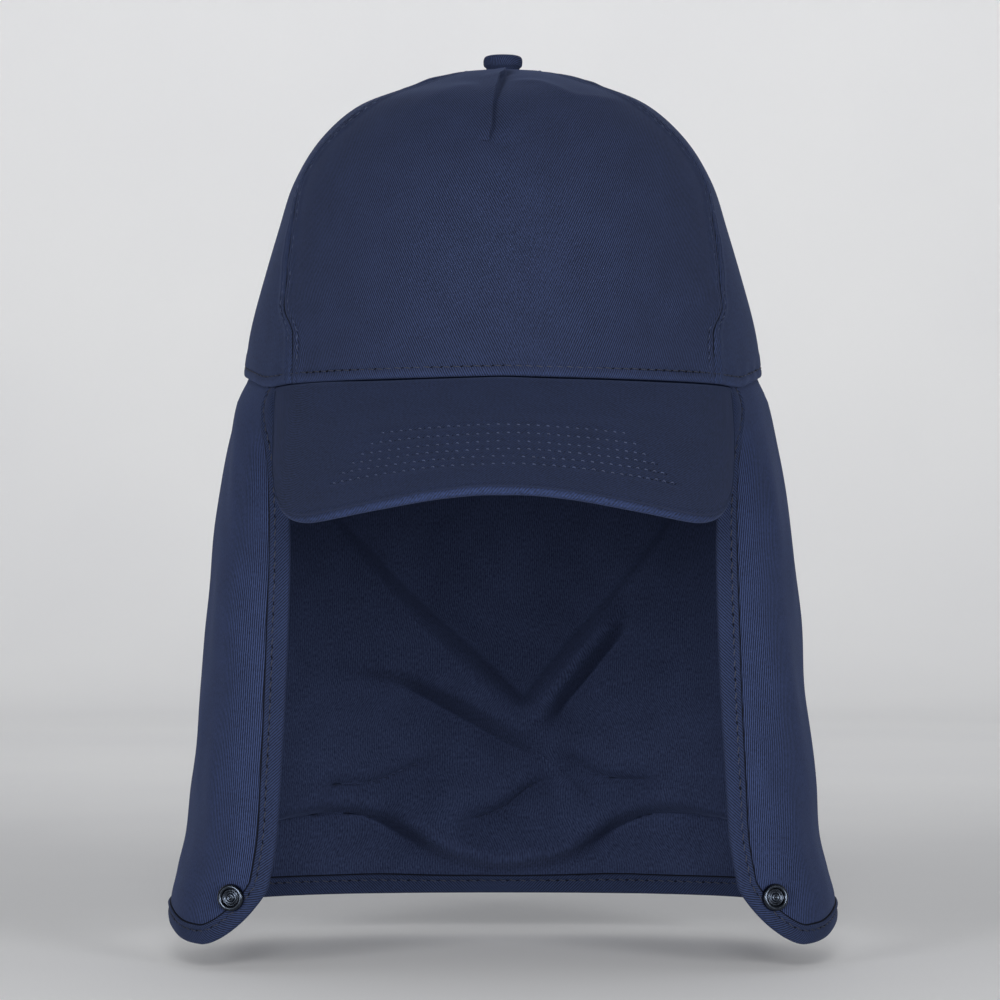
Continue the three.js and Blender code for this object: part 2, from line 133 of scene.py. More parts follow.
def nearestOnLine(line, across, up):
    # distance to a line of points, above zero on its left side, and the share of the line
    # that lies before the nearest point
    best = np.full(across.shape, 1e9)
    side, share = np.ones_like(best), np.zeros_like(best)
    runs = np.diff(line, axis=0)
    lengths = np.hypot(runs[:, 0], runs[:, 1])
    ends = np.concatenate([[0], np.cumsum(lengths)])
    for (x, y), (runX, runY), length, start in zip(line[:-1], runs, lengths, ends):
        s = np.clip(((across - x) * runX + (up - y) * runY) / length**2, 0, 1)
        away = np.hypot(across - x - s * runX, up - y - s * runY)
        closer = away < best
        best = np.where(closer, away, best)
        side = np.where(closer, np.sign((up - y) * runX - (across - x) * runY), side)
        share = np.where(closer, (start + s * length) / ends[-1], share)
    return best * side, share


def creaseHeight(creases, across, up):
    # each crease is a ridge along a line: it falls off exponentially, at its own rate on each side,
    # is rounded at the top and fades towards both ends
    height = np.zeros_like(across)
    for points, rise, leftWidth, rightWidth, roundness in creases:
        away, share = nearestOnLine(curveThrough(points, 5 * len(points)), across, up)
        width = np.where(away > 0, leftWidth, rightWidth)
        fall = (np.sqrt(away**2 + roundness**2) - roundness) / width
        height += rise * np.exp(-fall) * smooth(-0.02, 0.25, share) * (1 - smooth(0.75, 1.02, share))
    return height


def ripple(across, up, seed, size):
    # gentle unevenness of cloth: seeded sum of slow sine waves, about -1 to 1
    random = np.random.default_rng(seed)
    total = np.zeros_like(across + up)
    for _ in range(9):
        angle, phase = random.uniform(0, math.pi), random.uniform(0, 2 * math.pi)
        length = size * random.uniform(0.7, 1.8)
        total += np.sin((across * math.cos(angle) + up * math.sin(angle)) * 2 * math.pi / length + phase)
    return total / 4


# mesh helpers


def meshObject(name, points, faces, material, uvs=None):
    mesh = bpy.data.meshes.new(name)
    mesh.vertices.add(len(points))
    mesh.vertices.foreach_set("co", np.ascontiguousarray(points * millimetre, np.float32).ravel())
    corners = np.ascontiguousarray(faces, np.int32)
    mesh.loops.add(corners.size)
    mesh.loops.foreach_set("vertex_index", corners.ravel())
    mesh.polygons.add(len(corners))
    mesh.polygons.foreach_set("loop_start", np.arange(0, corners.size, 4, dtype=np.int32))
    mesh.update(calc_edges=True)
    mesh.shade_smooth()
    if uvs is not None:
        layer = mesh.uv_layers.new(name="cloth")
        flat = uvs[corners.ravel()] * millimetre
        layer.data.foreach_set("uv", np.ascontiguousarray(flat, np.float32).ravel())
    mesh.materials.append(material)
    made = bpy.data.objects.new(name, mesh)
    scene.collection.objects.link(made)
    return made


def gridFaces(rows, columns, closed=False, offset=0):
    # quads whose normal is the column direction crossed with the row direction
    wide = columns if closed else columns - 1
    j, i = np.meshgrid(np.arange(rows - 1), np.arange(wide), indexing="ij")
    right = (i + 1) % columns
    quads = [j * columns + i, j * columns + right, (j + 1) * columns + right, (j + 1) * columns + i]
    return np.stack(quads, -1).reshape(-1, 4) + offset


def clothShell(name, outer, inner, uv, material, reverse=None):
    # outer and inner grids of one cloth, joined by strips round their border
    rows, columns = outer.shape[:2]
    count = rows * columns
    index = np.arange(count).reshape(rows, columns)
    border = np.concatenate([index[0, :-1], index[:-1, -1], index[-1, :0:-1], index[:0:-1, 0]])
    onward = np.roll(border, -1)
    strip = np.stack([border, border + count, onward + count, onward], -1)
    faces = np.concatenate([gridFaces(rows, columns), gridFaces(rows, columns, offset=count)[:, ::-1], strip])
    points = np.concatenate([outer.reshape(-1, 3), inner.reshape(-1, 3)])
    made = meshObject(name, points, faces, material, np.concatenate([uv.reshape(-1, 2)] * 2))
    if reverse is not None:
        made.data.materials.append(reverse)
        face = np.arange(len(faces)) // ((rows - 1) * (columns - 1))
        made.data.polygons.foreach_set("material_index", (face == 1).astype(np.int32))
    return made


def loopShell(name, loop, uv, material):
    # sections, each a closed loop down a column's rows, side by side and capped at both ends
    rows, columns = loop.shape[:2]
    j, i = np.meshgrid(np.arange(rows), np.arange(columns - 1), indexing="ij")
    here, below = j * columns + i, (j + 1) % rows * columns + i
    around = np.stack([here, below, below + 1, here + 1], -1)
    k = np.arange(rows // 2 - 1)
    cap = np.stack([k, k + 1, rows - 2 - k, rows - 1 - k], -1) * columns
    faces = np.concatenate([around.reshape(-1, 4), cap[:, ::-1], cap + columns - 1])
    return meshObject(name, loop.reshape(-1, 3), faces, material, uv.reshape(-1, 2))


def fan(ring, centre):
    # quads that close a ring of an even number of points on one centre point
    a, b, c = ring[0::2], ring[1::2], np.roll(ring[0::2], -1)
    return np.stack([a, b, c, np.full_like(a, centre)], -1)


def lathe(name, profile, sides, place, axis, material, gather=None):
    # profile of (radius, height) from the axis at the bottom to the axis at the top, turned about the axis
    radius, height = np.array(profile, float).T
    turn = np.arange(sides) * 2 * math.pi / sides
    ringRadius = np.repeat(radius[1:-1, None], sides, 1)
    if gather is not None:
        ringRadius = ringRadius + gather(turn[None], height[1:-1, None])
    axis = unit(np.array(axis, float))
    sideways = unit(np.cross([0, 0, 1.0] if abs(axis[2]) < 0.9 else [0, 1.0, 0], axis))
    upwards = np.cross(axis, sideways)
    rings = ringRadius[..., None] * (np.cos(turn)[:, None] * sideways + np.sin(turn)[:, None] * upwards)
    rings = rings + height[1:-1, None, None] * axis
    points = np.concatenate([rings.reshape(-1, 3), [height[0] * axis, height[-1] * axis]]) + np.array(place)
    rows = len(radius) - 2
    last = rows * sides
    first = np.arange(sides)
    ends = [fan(first[::-1], last), fan(first + last - sides, last + 1)]
    faces = np.concatenate([gridFaces(rows, sides, closed=True), *ends])
    away = np.cumsum(np.hypot(np.diff(radius), np.diff(height))[::-1])[::-1]
    spread = away[1:, None, None] * np.stack([np.cos(turn), np.sin(turn)], -1)[None]
    uv = np.concatenate([spread.reshape(-1, 2), [[away[0], 0], [0, 0]]]) + 50
    return meshObject(name, points, faces, material, uv)


def ride(piece, node=None):
    if node is not None:
        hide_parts(node)
    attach(piece, "root")
    return piece


# materials


def linear(code):
    # sRGB hex to linear colour
    values = [int(code[i : i + 2], 16) / 255 for i in (1, 3, 5)]
    return [v / 12.92 if v <= 0.04045 else ((v + 0.055) / 1.055) ** 2.4 for v in values] + [1.0]


def addNode(tree, kind, settings=None, inputs=None, links=None):
    node = tree.nodes.new(kind)
    for name, value in (settings or {}).items():
        setattr(node, name, value)
    for name, value in (inputs or {}).items():
        node.inputs[name].default_value = value
    for name, source in (links or {}).items():
        tree.links.new(source, node.inputs[name])
    return node


def noise(tree, scale, detail, place):
    inputs = {"Scale": scale, "Detail": detail}
    return addNode(tree, "ShaderNodeTexNoise", inputs=inputs, links={"Vector": place}).outputs["Fac"]


def blendFloats(tree, first, second, share):
    made = addNode(tree, "ShaderNodeMix", {"data_type": "FLOAT"}, {0: share}, {2: first, 3: second})
    return made.outputs[0]


def newMaterial(name):
    material = bpy.data.materials.new(name)
    material.use_nodes = True
    return material.node_tree, material.node_tree.nodes["Principled BSDF"], material


def colourRamp(tree, low, high, factor):
    ramp = addNode(tree, "ShaderNodeValToRGB", links={0: factor})
    for element, place, code in zip(ramp.color_ramp.elements, (0.3, 0.7), (low, high)):
        element.position, element.color = place, linear(code)
    return ramp.outputs[0]


twill = {
    "turnOver": 22.0,  # mm on each side of the place where the slant turns over
    "broken": {"Distortion": 0.7, "Detail": 2.0, "Detail Scale": 1.1},  # how the ribs are broken up
    "yarnScale": 2100.0,  # single yarns, about half a millimetre
    "yarnStretch": 0.38,  # they are drawn out along the rib
    "patchScale": 90.0,  # patches of about a centimetre
    "patchShare": 0.14,
    "highlightFade": (0.5, 2.6),  # mm from a hard edge, where the painted highlight starts to fade and where it ends
}


# Dyed cotton twill, woven three up and one down and brushed: dull, with fine slanting ribs broken
# up by uneven yarns, a soft bloom at grazing angles, and a painted highlight: paler along a hard edge.
def cottonTwill(
    name, thread, shade, ribAngle, ribPitch=0.85, turnAt=None, relief=0.12, ribShare=0.5, edgeHighlight=1.0
):
    tree, surface, material = newMaterial(name)
    place = addNode(tree, "ShaderNodeUVMap", {"uv_map": "cloth"}).outputs[0]
    split = addNode(tree, "ShaderNodeSeparateXYZ", links={0: place})

    def ribWave(angle):
        rotation = {"Rotation": (0, 0, math.radians(angle))}
        turned = addNode(tree, "ShaderNodeMapping", inputs=rotation, links={"Vector": place}).outputs[0]
        bands = {"wave_type": "BANDS", "bands_direction": "X", "wave_profile": "SIN"}
        pitch = {"Scale": math.pi / 10 / (ribPitch * millimetre), **twill["broken"]}
        wave = addNode(tree, "ShaderNodeTexWave", bands, pitch, {"Vector": turned})
        return turned, wave.outputs["Fac"]

    turned, ribs = ribWave(ribAngle)
    smoothStep = {"interpolation_type": "SMOOTHSTEP"}
    if turnAt is not None:
        # the slant turns over gradually near the middle of the panel
        over = {1: (turnAt - twill["turnOver"]) * millimetre, 2: (turnAt + twill["turnOver"]) * millimetre}
        share = addNode(tree, "ShaderNodeMapRange", smoothStep, over, {0: split.outputs[0]}).outputs[0]
        blend = {0: share, 2: ribs, 3: ribWave(-ribAngle)[1]}
        ribs = addNode(tree, "ShaderNodeMix", {"data_type": "FLOAT"}, links=blend).outputs[0]
    stretch = {"Scale": (1.0, twill["yarnStretch"], 1.0)}
    drawn = addNode(tree, "ShaderNodeMapping", inputs=stretch, links={"Vector": turned}).outputs[0]
    weave = blendFloats(tree, ribs, noise(tree, twill["yarnScale"], 2.0, drawn), 1 - ribShare)
    depth = blendFloats(tree, weave, noise(tree, twill["patchScale"], 5.0, place), twill["patchShare"])
    colours = colourRamp(tree, shade, thread, depth)
    # painted highlight: the colour is made paler within a few mm of the cloth's edge, where uv y is near zero
    fromEdge = addNode(tree, "ShaderNodeMath", {"operation": "ABSOLUTE"}, links={0: split.outputs[1]})
    fade = {1: twill["highlightFade"][0] * millimetre, 2: twill["highlightFade"][1] * millimetre, 3: edgeHighlight, 4: 1.0}
    highlightFade = addNode(tree, "ShaderNodeMapRange", smoothStep, fade, {0: fromEdge.outputs[0]})
    highlit = addNode(tree, "ShaderNodeHueSaturation", links={"Value": highlightFade.outputs[0], "Color": colours})
    tree.links.new(highlit.outputs[0], surface.inputs["Base Color"])
    height = {"Strength": 0.7, "Distance": relief * millimetre}
    bump = addNode(tree, "ShaderNodeBump", inputs=height, links={"Height": weave})
    tree.links.new(bump.outputs[0], surface.inputs["Normal"])
    surface.inputs["Roughness"].default_value = 0.9
    surface.inputs["Specular IOR Level"].default_value = 0.18
    surface.inputs["Sheen Weight"].default_value = 0.14
    surface.inputs["Sheen Roughness"].default_value = 0.45
    surface.inputs["Sheen Tint"].default_value = linear("#7488bf")
    return material


# One plain substance whose colour and roughness wander a little.
def mottled(name, low, high, scale, roughness, specular=0.5, metallic=0.0):
    tree, surface, material = newMaterial(name)
    place = addNode(tree, "ShaderNodeTexCoord").outputs["Object"]
    wander = noise(tree, scale, 3.0, place)
    tree.links.new(colourRamp(tree, low, high, wander), surface.inputs["Base Color"])
    spread = {3: roughness * 0.8, 4: min(roughness * 1.2, 1.0)}
    rough = addNode(tree, "ShaderNodeMapRange", inputs=spread, links={0: wander})
    tree.links.new(rough.outputs[0], surface.inputs["Roughness"])
    surface.inputs["Specular IOR Level"].default_value = specular
    surface.inputs["Metallic"].default_value = metallic
    return material


# the crown's rim and the peak's rolled front edge get a painted highlight through edgeHighlight
frontTwill = cottonTwill(
    "navy cotton twill, front panel", "#252f4c", "#080d1b", -26, ribPitch=0.76, turnAt=12, edgeHighlight=1.3
)
sideTwill = cottonTwill(
    "navy cotton twill, side and back panels",
    "#283352",
    "#070c19",
    26,
    ribPitch=0.76,
    ribShare=0.38,
    edgeHighlight=1.3,
)
peakTwill = cottonTwill(
    "navy cotton twill stretched over board",
    "#1d2743",
    "#0a0f1b",
    40,
    relief=0.08,
    ribShare=0.25,
    edgeHighlight=1.75,
)
flapTwill = cottonTwill("navy cotton twill, flap", "#2b3759", "#060a17", 4, ribPitch=0.88)
# the reverse of the same twill, where the ribs hardly show
flapReverse = cottonTwill(
    "navy cotton twill, reverse of the flap", "#29334f", "#0d1429", 4, relief=0.06, ribShare=0.2
)
bindingTwill = cottonTwill("navy cotton twill cut on the bias", "#242f4d", "#080d1b", 45, ribPitch=0.8)
# spun polyester twisted tight, a little smoother than the cloth
thread = mottled("navy polyester sewing thread", "#0b0f1b", "#192036", 1500.0, 0.6)
# the same thread in a paler colour: a painted highlight on the raised stitches of the seams and the peak
litThread = mottled("navy polyester sewing thread, painted highlight", "#1d253b", "#333f5e", 1500.0, 0.55)
# near-black painted shade, put in the needle holes, the seam cracks and along the binding's turned-in edges
paintedShade = mottled("painted shade in needle holes, seam cracks and turned edges", "#05070e", "#0a0e19", 1200.0, 0.95, specular=0.1)
# dark mirror-like plate with fine handling marks
nickel = mottled("black nickel plated brass, stamped", "#2a2f37", "#3f454f", 900.0, 0.22, metallic=1.0)
board = mottled("pale painted board, matt", "#efeff0", "#f4f4f4", 3.0, 0.85)
print("materials made")


# crown: five panels on one surface, from the rim up to the button

crown = {
    "length": 200.0,
    "width": 184.2,
    "height": 111.0,
    "wall": 1.4,
    "apexHole": 3.1,
    "rimWave": 3.1,
    "sags": [
        # angle from the front and its spread, climb and its spread, depth in mm
        (-62, 48, 0.78, 0.1, 1.9),
        (62, 48, 0.78, 0.1, 1.0),
    ],
    "seamDepth": 0.75,
    "seamWidth": 0.55,
    "allowanceLift": 0.4,  # the folded cloth under a seam lifts the panel beside it
    "allowanceWidth": 4.6,
    "stitchFromSeam": 3.0,
    "stitchFromRim": 3.3,
    "stitchChannel": 0.28,
    "crackRadius": 0.3,  # the shade in a seam, a thin cord sunk into it
    "crackSink": 0.2,
    "slant": 160.0,  # from the rim to the button along the cloth
    "step": 1.25,
}
crownSections = table(
    "climb height side front back",
    (0.0, 0.0, 1.0, 1.0, 1.0),
    (0.114, 0.162, 0.971, 0.985, 0.99),
    (0.23, 0.324, 0.918, 0.953, 0.948),
    (0.347, 0.486, 0.863, 0.897, 0.876),
    (0.453, 0.631, 0.803, 0.819, 0.778),
    (0.57, 0.775, 0.697, 0.69, 0.633),
    (0.684, 0.885, 0.543, 0.525, 0.468),
    (0.8, 0.951, 0.351, 0.339, 0.298),
    (0.91, 0.988, 0.159, 0.153, 0.132),
    (1.0, 1.0, 0.0, 0.0, 0.0),
)
rimLine = table(
    "angle lift",
    (0, -0.17),
    (22, -0.42),
    (40, -0.58),
    (54, -0.78),
    (64, -1.0),
    (72, -0.35),
    (81, 0.22),
    (92, 0.47),
    (135, 0.4),
    (180, 0.32),
)
frontSeamLine = table(
    "climb angle",
    (0.0, 52.2),
    (0.05, 52.8),
    (0.09, 53.6),
    (0.11, 54.2),
    (0.13, 56.0),
    (0.15, 58.6),
    (0.172, 60.6),
    (0.2, 61.3),
    (0.26, 63.8),
    (0.356, 67.4),
    (0.42, 70.2),
    (0.47, 70.8),
    (0.52, 69.2),
    (0.56, 67.0),
    (0.62, 64.2),
    (0.7, 62.6),
    (0.8, 63.2),
    (0.91, 66.0),
    (1.0, 70.0),
)
sideSeamLine = table(
    "climb angle", (0.0, 114), (0.23, 114), (0.347, 115), (0.453, 116), (0.57, 117), (0.684, 118), (1.0, 118)
)


def rimHeight(angle):
    fromFront = np.abs((angle + 180) % 360 - 180)
    return crown["rimWave"] * readTable(rimLine, "angle", "lift", fromFront)


def crownHalf(column, size, climb):
    return mix(crown["apexHole"], size / 2, readTable(crownSections, "climb", column, climb))


def crownPoint(angle, climb):
    # an ellipse at each height, whose half axes shrink from the rim to the apex hole; it sags a
    # little at both shoulders, on the left more than on the right
    turn = np.radians(angle)
    side = crownHalf("side", crown["width"], climb)
    front, back = crownHalf("front", crown["length"], climb), crownHalf("back", crown["length"], climb)
    height = readTable(crownSections, "climb", "height", climb)
    turned = (angle + 180) % 360 - 180
    sag = sum(
        depth * bell(turned - place, spread) * bell(climb - level, reach)
        for place, spread, level, reach, depth in crown["sags"]
    )
    z = crown["height"] * height + rimHeight(angle) * (1 - height) ** 2 - sag
    return np.stack([side * np.sin(turn), -np.where(np.cos(turn) > 0, front, back) * np.cos(turn), z], -1)


def crownNormal(angle, climb):
    return normalAt(crownPoint, angle, climb, 1e-2, 1e-4)


seamStops = np.array([0, 0.25, 0.5, 0.8, 1.2, 1.7, 2.3, 2.65, 3.0, 3.35, 3.9, 4.6, 5.4, 6.4])
rimStops = np.array([0, 0.2, 0.45, 0.8, 1.3, 1.9, 2.5, 2.9, 3.3, 3.7, 4.3, 5.2, 6.3])


def seamRelief(away, up, seed):
    # groove at the seam, a lifted band over its allowance, a channel under the stitches and small puckers
    relief = -crown["seamDepth"] * np.exp(-np.abs(away) / crown["seamWidth"])
    edge = crown["allowanceWidth"]
    relief += crown["allowanceLift"] * (1 - smooth(0.8 * edge, 1.5 * edge, away))
    relief -= crown["stitchChannel"] * bell(away - crown["stitchFromSeam"], 0.5)
    return relief + 0.16 * ripple(up, away * 0.4, seed, 6.5) * bell(away - crown["stitchFromSeam"], 3.4)


def rimRelief(up, along):
    # rolled edge, channel under the rim stitches and a soft step above the turned-up cloth
    relief = -0.7 * np.exp(-up / 0.5) + 0.3 * (1 - smooth(7.0, 10.0, up))
    relief -= crown["stitchChannel"] * bell(up - crown["stitchFromRim"], 0.5)
    return relief + 0.12 * ripple(along, up * 0.3, 11, 6.5) * bell(up - crown["stitchFromRim"], 3.2)


frontDart = {
    "line": table(
        "climb x",
        (0.5, -5.2),
        (0.54, -4.9),
        (0.56, -4.2),
        (0.635, -3.8),
        (0.69, -3.0),
        (0.77, -1.8),
        (0.83, -1.1),
        (0.87, 0.7),
        (1.0, 0.5),
    ),
    "overlap": 0.9,
    "spread": 9.0,
    "groove": 1.5,
    "grooveMiddle": 0.6,  # right of the line
    "grooveWidths": (1.2, 3.2),  # on its left and right
    "layer": 0.25,
}
frontCreases = [
    # line of (across, up the cloth), rise, width on its left and right, roundness
    ([(-1, 124), (11, 121), (17, 115), (24, 107), (34, 106), (46, 105)], 0.9, 2.5, 4.0, 1.5),
    ([(-8, 122), (-18, 113), (-34, 95)], 0.6, 4.0, 4.0, 2.5),
    ([(-9, 86), (-3, 83), (4, 81)], -1.1, 2.5, 2.5, 1.0),
    ([(-72, 6), (-62, 14), (-50, 24)], -1.0, 5.0, 7.0, 4.0),
    ([(72, 5), (61, 14), (48, 26)], -1.0, 7.0, 5.0, 4.0),
    ([(-76, 32), (-66, 26), (-56, 24)], 0.8, 3.0, 3.0, 1.5),
    ([(76, 31), (66, 25), (57, 24)], 0.8, 3.0, 3.0, 1.5),
]


def frontRelief(points, up, climb):
    # the cloth dips on the right of the dart, and soft creases run out from it
    side = points[..., 0] - readTable(frontDart["line"], "climb", "x", climb)
    shut = smooth(0.52, 0.57, climb)
    away = side - frontDart["grooveMiddle"]
    left, right = frontDart["grooveWidths"]
    under = -frontDart["groove"] * np.exp(-np.abs(away) / np.where(away > 0, right, left))
    relief = under * shut + creaseHeight(frontCreases, points[..., 0], up)
    return relief + 0.35 * ripple(points[..., 0], up, 5, 60.0)


def dartFold():
    # the dart's left edge, a folded layer that lies over the cloth on its right
    climb = np.linspace(0.53, 0.955, 90)[:, None]
    line = readTable(frontDart["line"], "climb", "x", climb)
    line = line + 0.12 * ripple(climb * crown["slant"], climb * 0, 33, 7.0)
    shut = smooth(0.528, 0.56, climb) * (1 - smooth(0.9, 0.955, climb))
    top = np.linspace(0, 1, 16)
    reach = np.concatenate([-frontDart["spread"] * (1 - top) ** 1.5, [0.16, 0.22, 0.16, 0.0, -0.6]])[None]
    lift = mix(-0.5, frontDart["overlap"], 1 - (1 - top) ** 1.5) + 0.12 * bell(top - 0.93, 0.06)
    lift = np.concatenate([lift, frontDart["overlap"] * np.array([0.9, 0.55, 0.2, -0.3, -0.6])])[None] * shut
    lift = lift - 0.5 * (1 - shut)
    side = crownHalf("side", crown["width"], climb)
    angle = np.degrees(np.arcsin(np.clip((line + reach) / side, -1, 1)))
    climb = np.repeat(climb, angle.shape[1], 1)
    normals = crownNormal(angle, climb)
    outer = crownPoint(angle, climb) + normals * lift[..., None]
    uv = np.stack([line + reach, np.interp(climb, *frontUps)], -1)
    made = clothShell("front_dart_fold", outer, outer - normals * frontDart["layer"], uv, frontTwill)
    return ride(made)


def sideRelief(points, up, climb):
    return 0.5 * ripple(points[..., 1], up, 8, 45.0) * smooth(2, 14, up)


def crownPanel(node, fromLine, toLine, material, seed, relief):
    # rows follow the climb and columns the way round, both closer together at seams and rim
    probe = np.linspace(0, 1, 401)
    heights = runningLength(crownPoint(np.full(401, 90.0), probe), 0)
    count = int((heights[-1] - rimStops[-1]) / crown["step"])
    ups = np.concatenate([rimStops, np.linspace(rimStops[-1], heights[-1], count + 1)[1:]])
    rows = np.interp(ups, heights, probe)
    start, stop = fromLine(rows)[:, None], toLine(rows)[:, None]
    probe = np.linspace(0, 1, 61)
    lengths = runningLength(crownPoint(mix(start, stop, probe[None]), rows[:, None]), 1)
    width = lengths[:, -1:]
    squeeze = np.minimum(1, width / 26)
    fine = seamStops[None] * squeeze
    count = int((width.max() - 2 * seamStops[-1]) / crown["step"])
    middle = mix(fine[:, -1:], width - fine[:, -1:], np.linspace(0, 1, count + 1)[None, 1:-1])
    stops = np.concatenate([fine, middle, (width - fine)[:, ::-1]], 1)
    shares = np.stack([np.interp(s, l, probe) for s, l in zip(stops, lengths)])
    angles = mix(start, stop, shares)
    climb = np.repeat(rows[:, None], stops.shape[1], 1)
    up = np.repeat(ups[:, None], stops.shape[1], 1)
    base = crownPoint(angles, climb)
    height = seamRelief(stops / squeeze, up, seed) * squeeze
    height += seamRelief((width - stops) / squeeze, up, seed + 1) * squeeze
    fromSeams = smooth(0, 3, stops) * smooth(0, 3, width - stops)
    height += rimRelief(up, stops) + relief(base, up, climb) * fromSeams
    height *= 1 - smooth(0.86, 0.97, climb)
    normals = crownNormal(angles, climb)
    outer = base + normals * height[..., None]
    inner = base - normals * crown["wall"]
    made = clothShell(node + "_cloth", outer, inner, np.stack([stops - width / 2, up], -1), material)
    return ride(made, node)


def frontSeam(climb):
    return readTable(frontSeamLine, "climb", "angle", climb)


def sideSeam(climb):
    return readTable(sideSeamLine, "climb", "angle", climb)


def backSeam(climb):
    return np.full_like(climb, 180.0)


def mirrored(line):
    return lambda climb: -line(climb)


def seamShade():
    # where two panels meet, the crack between them lies in shade, as a thin dark line
    climb = np.linspace(0.004, 0.86, 240)
    turn = np.arange(6)[:, None] * math.pi / 3
    for name, line in (
        ("front_seam_crack_right", frontSeam),
        ("front_seam_crack_left", mirrored(frontSeam)),
        ("side_seam_crack_right", sideSeam),
        ("side_seam_crack_left", mirrored(sideSeam)),
        ("back_seam_crack", backSeam),
    ):
        centre, normal = crownPoint(line(climb), climb), crownNormal(line(climb), climb)
        across = unit(np.cross(normal, np.gradient(centre, axis=0)))
        sideways = crown["crackRadius"] * np.cos(turn)[..., None]
        upwards = crown["crackRadius"] * np.sin(turn)[..., None] - crown["crackSink"]
        ring = across[None] * sideways + normal[None] * upwards
        uv = np.stack(np.broadcast_arrays(climb[None] * crown["slant"], turn), -1)
        ride(loopShell(name, centre[None] + ring, uv, paintedShade))


frontClimb = np.linspace(0, 1, 401)
frontUps = frontClimb, runningLength(crownPoint(np.full(401, 90.0), frontClimb), 0)
crownPanel("front_panel", mirrored(frontSeam), frontSeam, frontTwill, 21, frontRelief)
dartFold()
crownPanel("side_panel_right", frontSeam, sideSeam, sideTwill, 31, sideRelief)
crownPanel("side_panel_left", mirrored(sideSeam), mirrored(frontSeam), sideTwill, 41, sideRelief)
crownPanel("back_panel_right", sideSeam, backSeam, sideTwill, 51, sideRelief)
crownPanel("back_panel_left", mirrored(backSeam), mirrored(sideSeam), sideTwill, 61, sideRelief)
seamShade()
print("crown made")


# button covered with cloth, gathered under its edge

button = {
    "radius": 7.0,
    "height": 5.1,
    "seat": 111.3,
    "gathers": 13,
    "gatherDepth": 0.16,
    "sides": 72,
    "profile": table(
        "stop radius height",
        (0, 0.0, -0.9),
        (1, 0.42, -0.9),
        (2, 0.8, -0.12),
        (3, 0.86, 0.05),
        (4, 0.97, 0.2),
        (5, 1.0, 0.42),
        (6, 0.985, 0.66),
        (7, 0.9, 0.86),
        (8, 0.66, 0.97),
        (9, 0.3, 0.995),
        (10, 0.0, 1.0),
    ),
}


def buttonPiece(settings):
    at = np.linspace(0, 10, 61)
    radius = settings["radius"] * np.clip(readTable(settings["profile"], "stop", "radius", at), 0, 1)
    height = settings["seat"] + settings["height"] * readTable(settings["profile"], "stop", "height", at)

    def gather(turn, z):
        share = (z - settings["seat"]) / settings["height"]
        wave = 0.5 + 0.5 * np.cos(settings["gathers"] * turn + 0.6 * np.sin(3 * turn))
        return -settings["gatherDepth"] * wave * (1 - smooth(0.1, 0.75, share))

    profile = np.stack([radius, height], -1)
    made = lathe("top_button_cloth", profile, settings["sides"], (0, 0, 0), (0, 0, 1), frontTwill, gather)
    ride(made, "top_button")


buttonPiece(button)


# peak: board covered with cloth, with a turned edge and six rows of stitching

peak = {
    "width": 159.6,
    "reach": 63.0,
    "thickness": 3.0,
    "tuck": 3.2,
    "play": 0.65,
    "slope": 0.6,
    "camberSlope": 0.105,
    "camberWidth": 64.0,
    "edgeBulge": 0.28,
    "edgeGroove": 2.9,  # from the front edge to the groove behind it
    "rowBow": 1.8,  # how far a stitch row's ends run ahead of its middle
    "columns": 190,
}
peakOutline = table(
    "along side reach",
    (0.0, 0.0, 1.0),
    (0.14, 0.25, 0.965),
    (0.28, 0.47, 0.89),
    (0.4, 0.655, 0.76),
    (0.5, 0.795, 0.6),
    (0.59, 0.885, 0.42),
    (0.68, 0.94, 0.22),
    (0.78, 0.972, -0.02),
    (0.89, 0.99, -0.36),
    (1.0, 1.0, -0.73),
)
stitchRows = table(
    "forward half",  # distance in front of the rim, and half the row's length seen from above
    (27.0, 41.5),
    (32.0, 45.0),
    (36.8, 48.0),
    (40.9, 51.0),
    (44.9, 54.0),
    (49.0, 57.0),
)


def rimFront(x, inset):
    # y of the rim's ellipse, drawn in by an inset, at a given x
    share = np.clip(x / (crown["width"] / 2 - inset), -1, 1)
    return -(crown["length"] / 2 - inset) * np.sqrt(1 - share**2)


def peakHeight(x, y):
    # the peak falls away from the rim, and faster towards its sides
    forward = np.maximum(rimFront(x, 0) - y, 0)
    fall = peak["slope"] + peak["camberSlope"] * (x / peak["camberWidth"]) ** 2
    angle = np.degrees(np.arcsin(np.clip(x / (crown["width"] / 2), -1, 1)))
    return rimHeight(angle) - peak["play"] - forward * fall


def peakTop(u, v):
    # u goes round the outline from left to right, v from the edge to the root
    along, hand = np.abs(2 * u - 1), np.sign(2 * u - 1)
    edgeX = hand * peak["width"] / 2 * readTable(peakOutline, "along", "side", along)
    edgeY = -crown["length"] / 2 - peak["reach"] * readTable(peakOutline, "along", "reach", along)
    rootX = edgeX * (crown["width"] / 2 - peak["tuck"]) / (crown["width"] / 2)
    x, y = mix(edgeX, rootX, v), mix(edgeY, rimFront(rootX, peak["tuck"]), v)
    return np.stack([x, y, peakHeight(x, y)], -1)


def peakRelief(points, fromEdge):
    # groove behind the turned edge, channels along the stitch rows and slight unevenness
    x, forward = points[..., 0], rimFront(points[..., 0], 0) - points[..., 1]
    relief = peak["edgeBulge"] * (bell(fromEdge, 2.2) - bell(fromEdge - peak["edgeGroove"], 0.7))
    for start, half in zip(stitchRows["forward"], stitchRows["half"]):
        away = forward - start - peak["rowBow"] * (x / half) ** 2
        relief -= 0.32 * bell(away, 0.95) * (1 - smooth(half - 1, half + 2, np.abs(x)))
    padded = smooth(20, 27, forward) * (1 - smooth(50, 58, forward)) * (1 - smooth(44, 66, np.abs(x)))
    return relief + 0.22 * padded + 0.2 * ripple(x, forward, 17, 38.0)


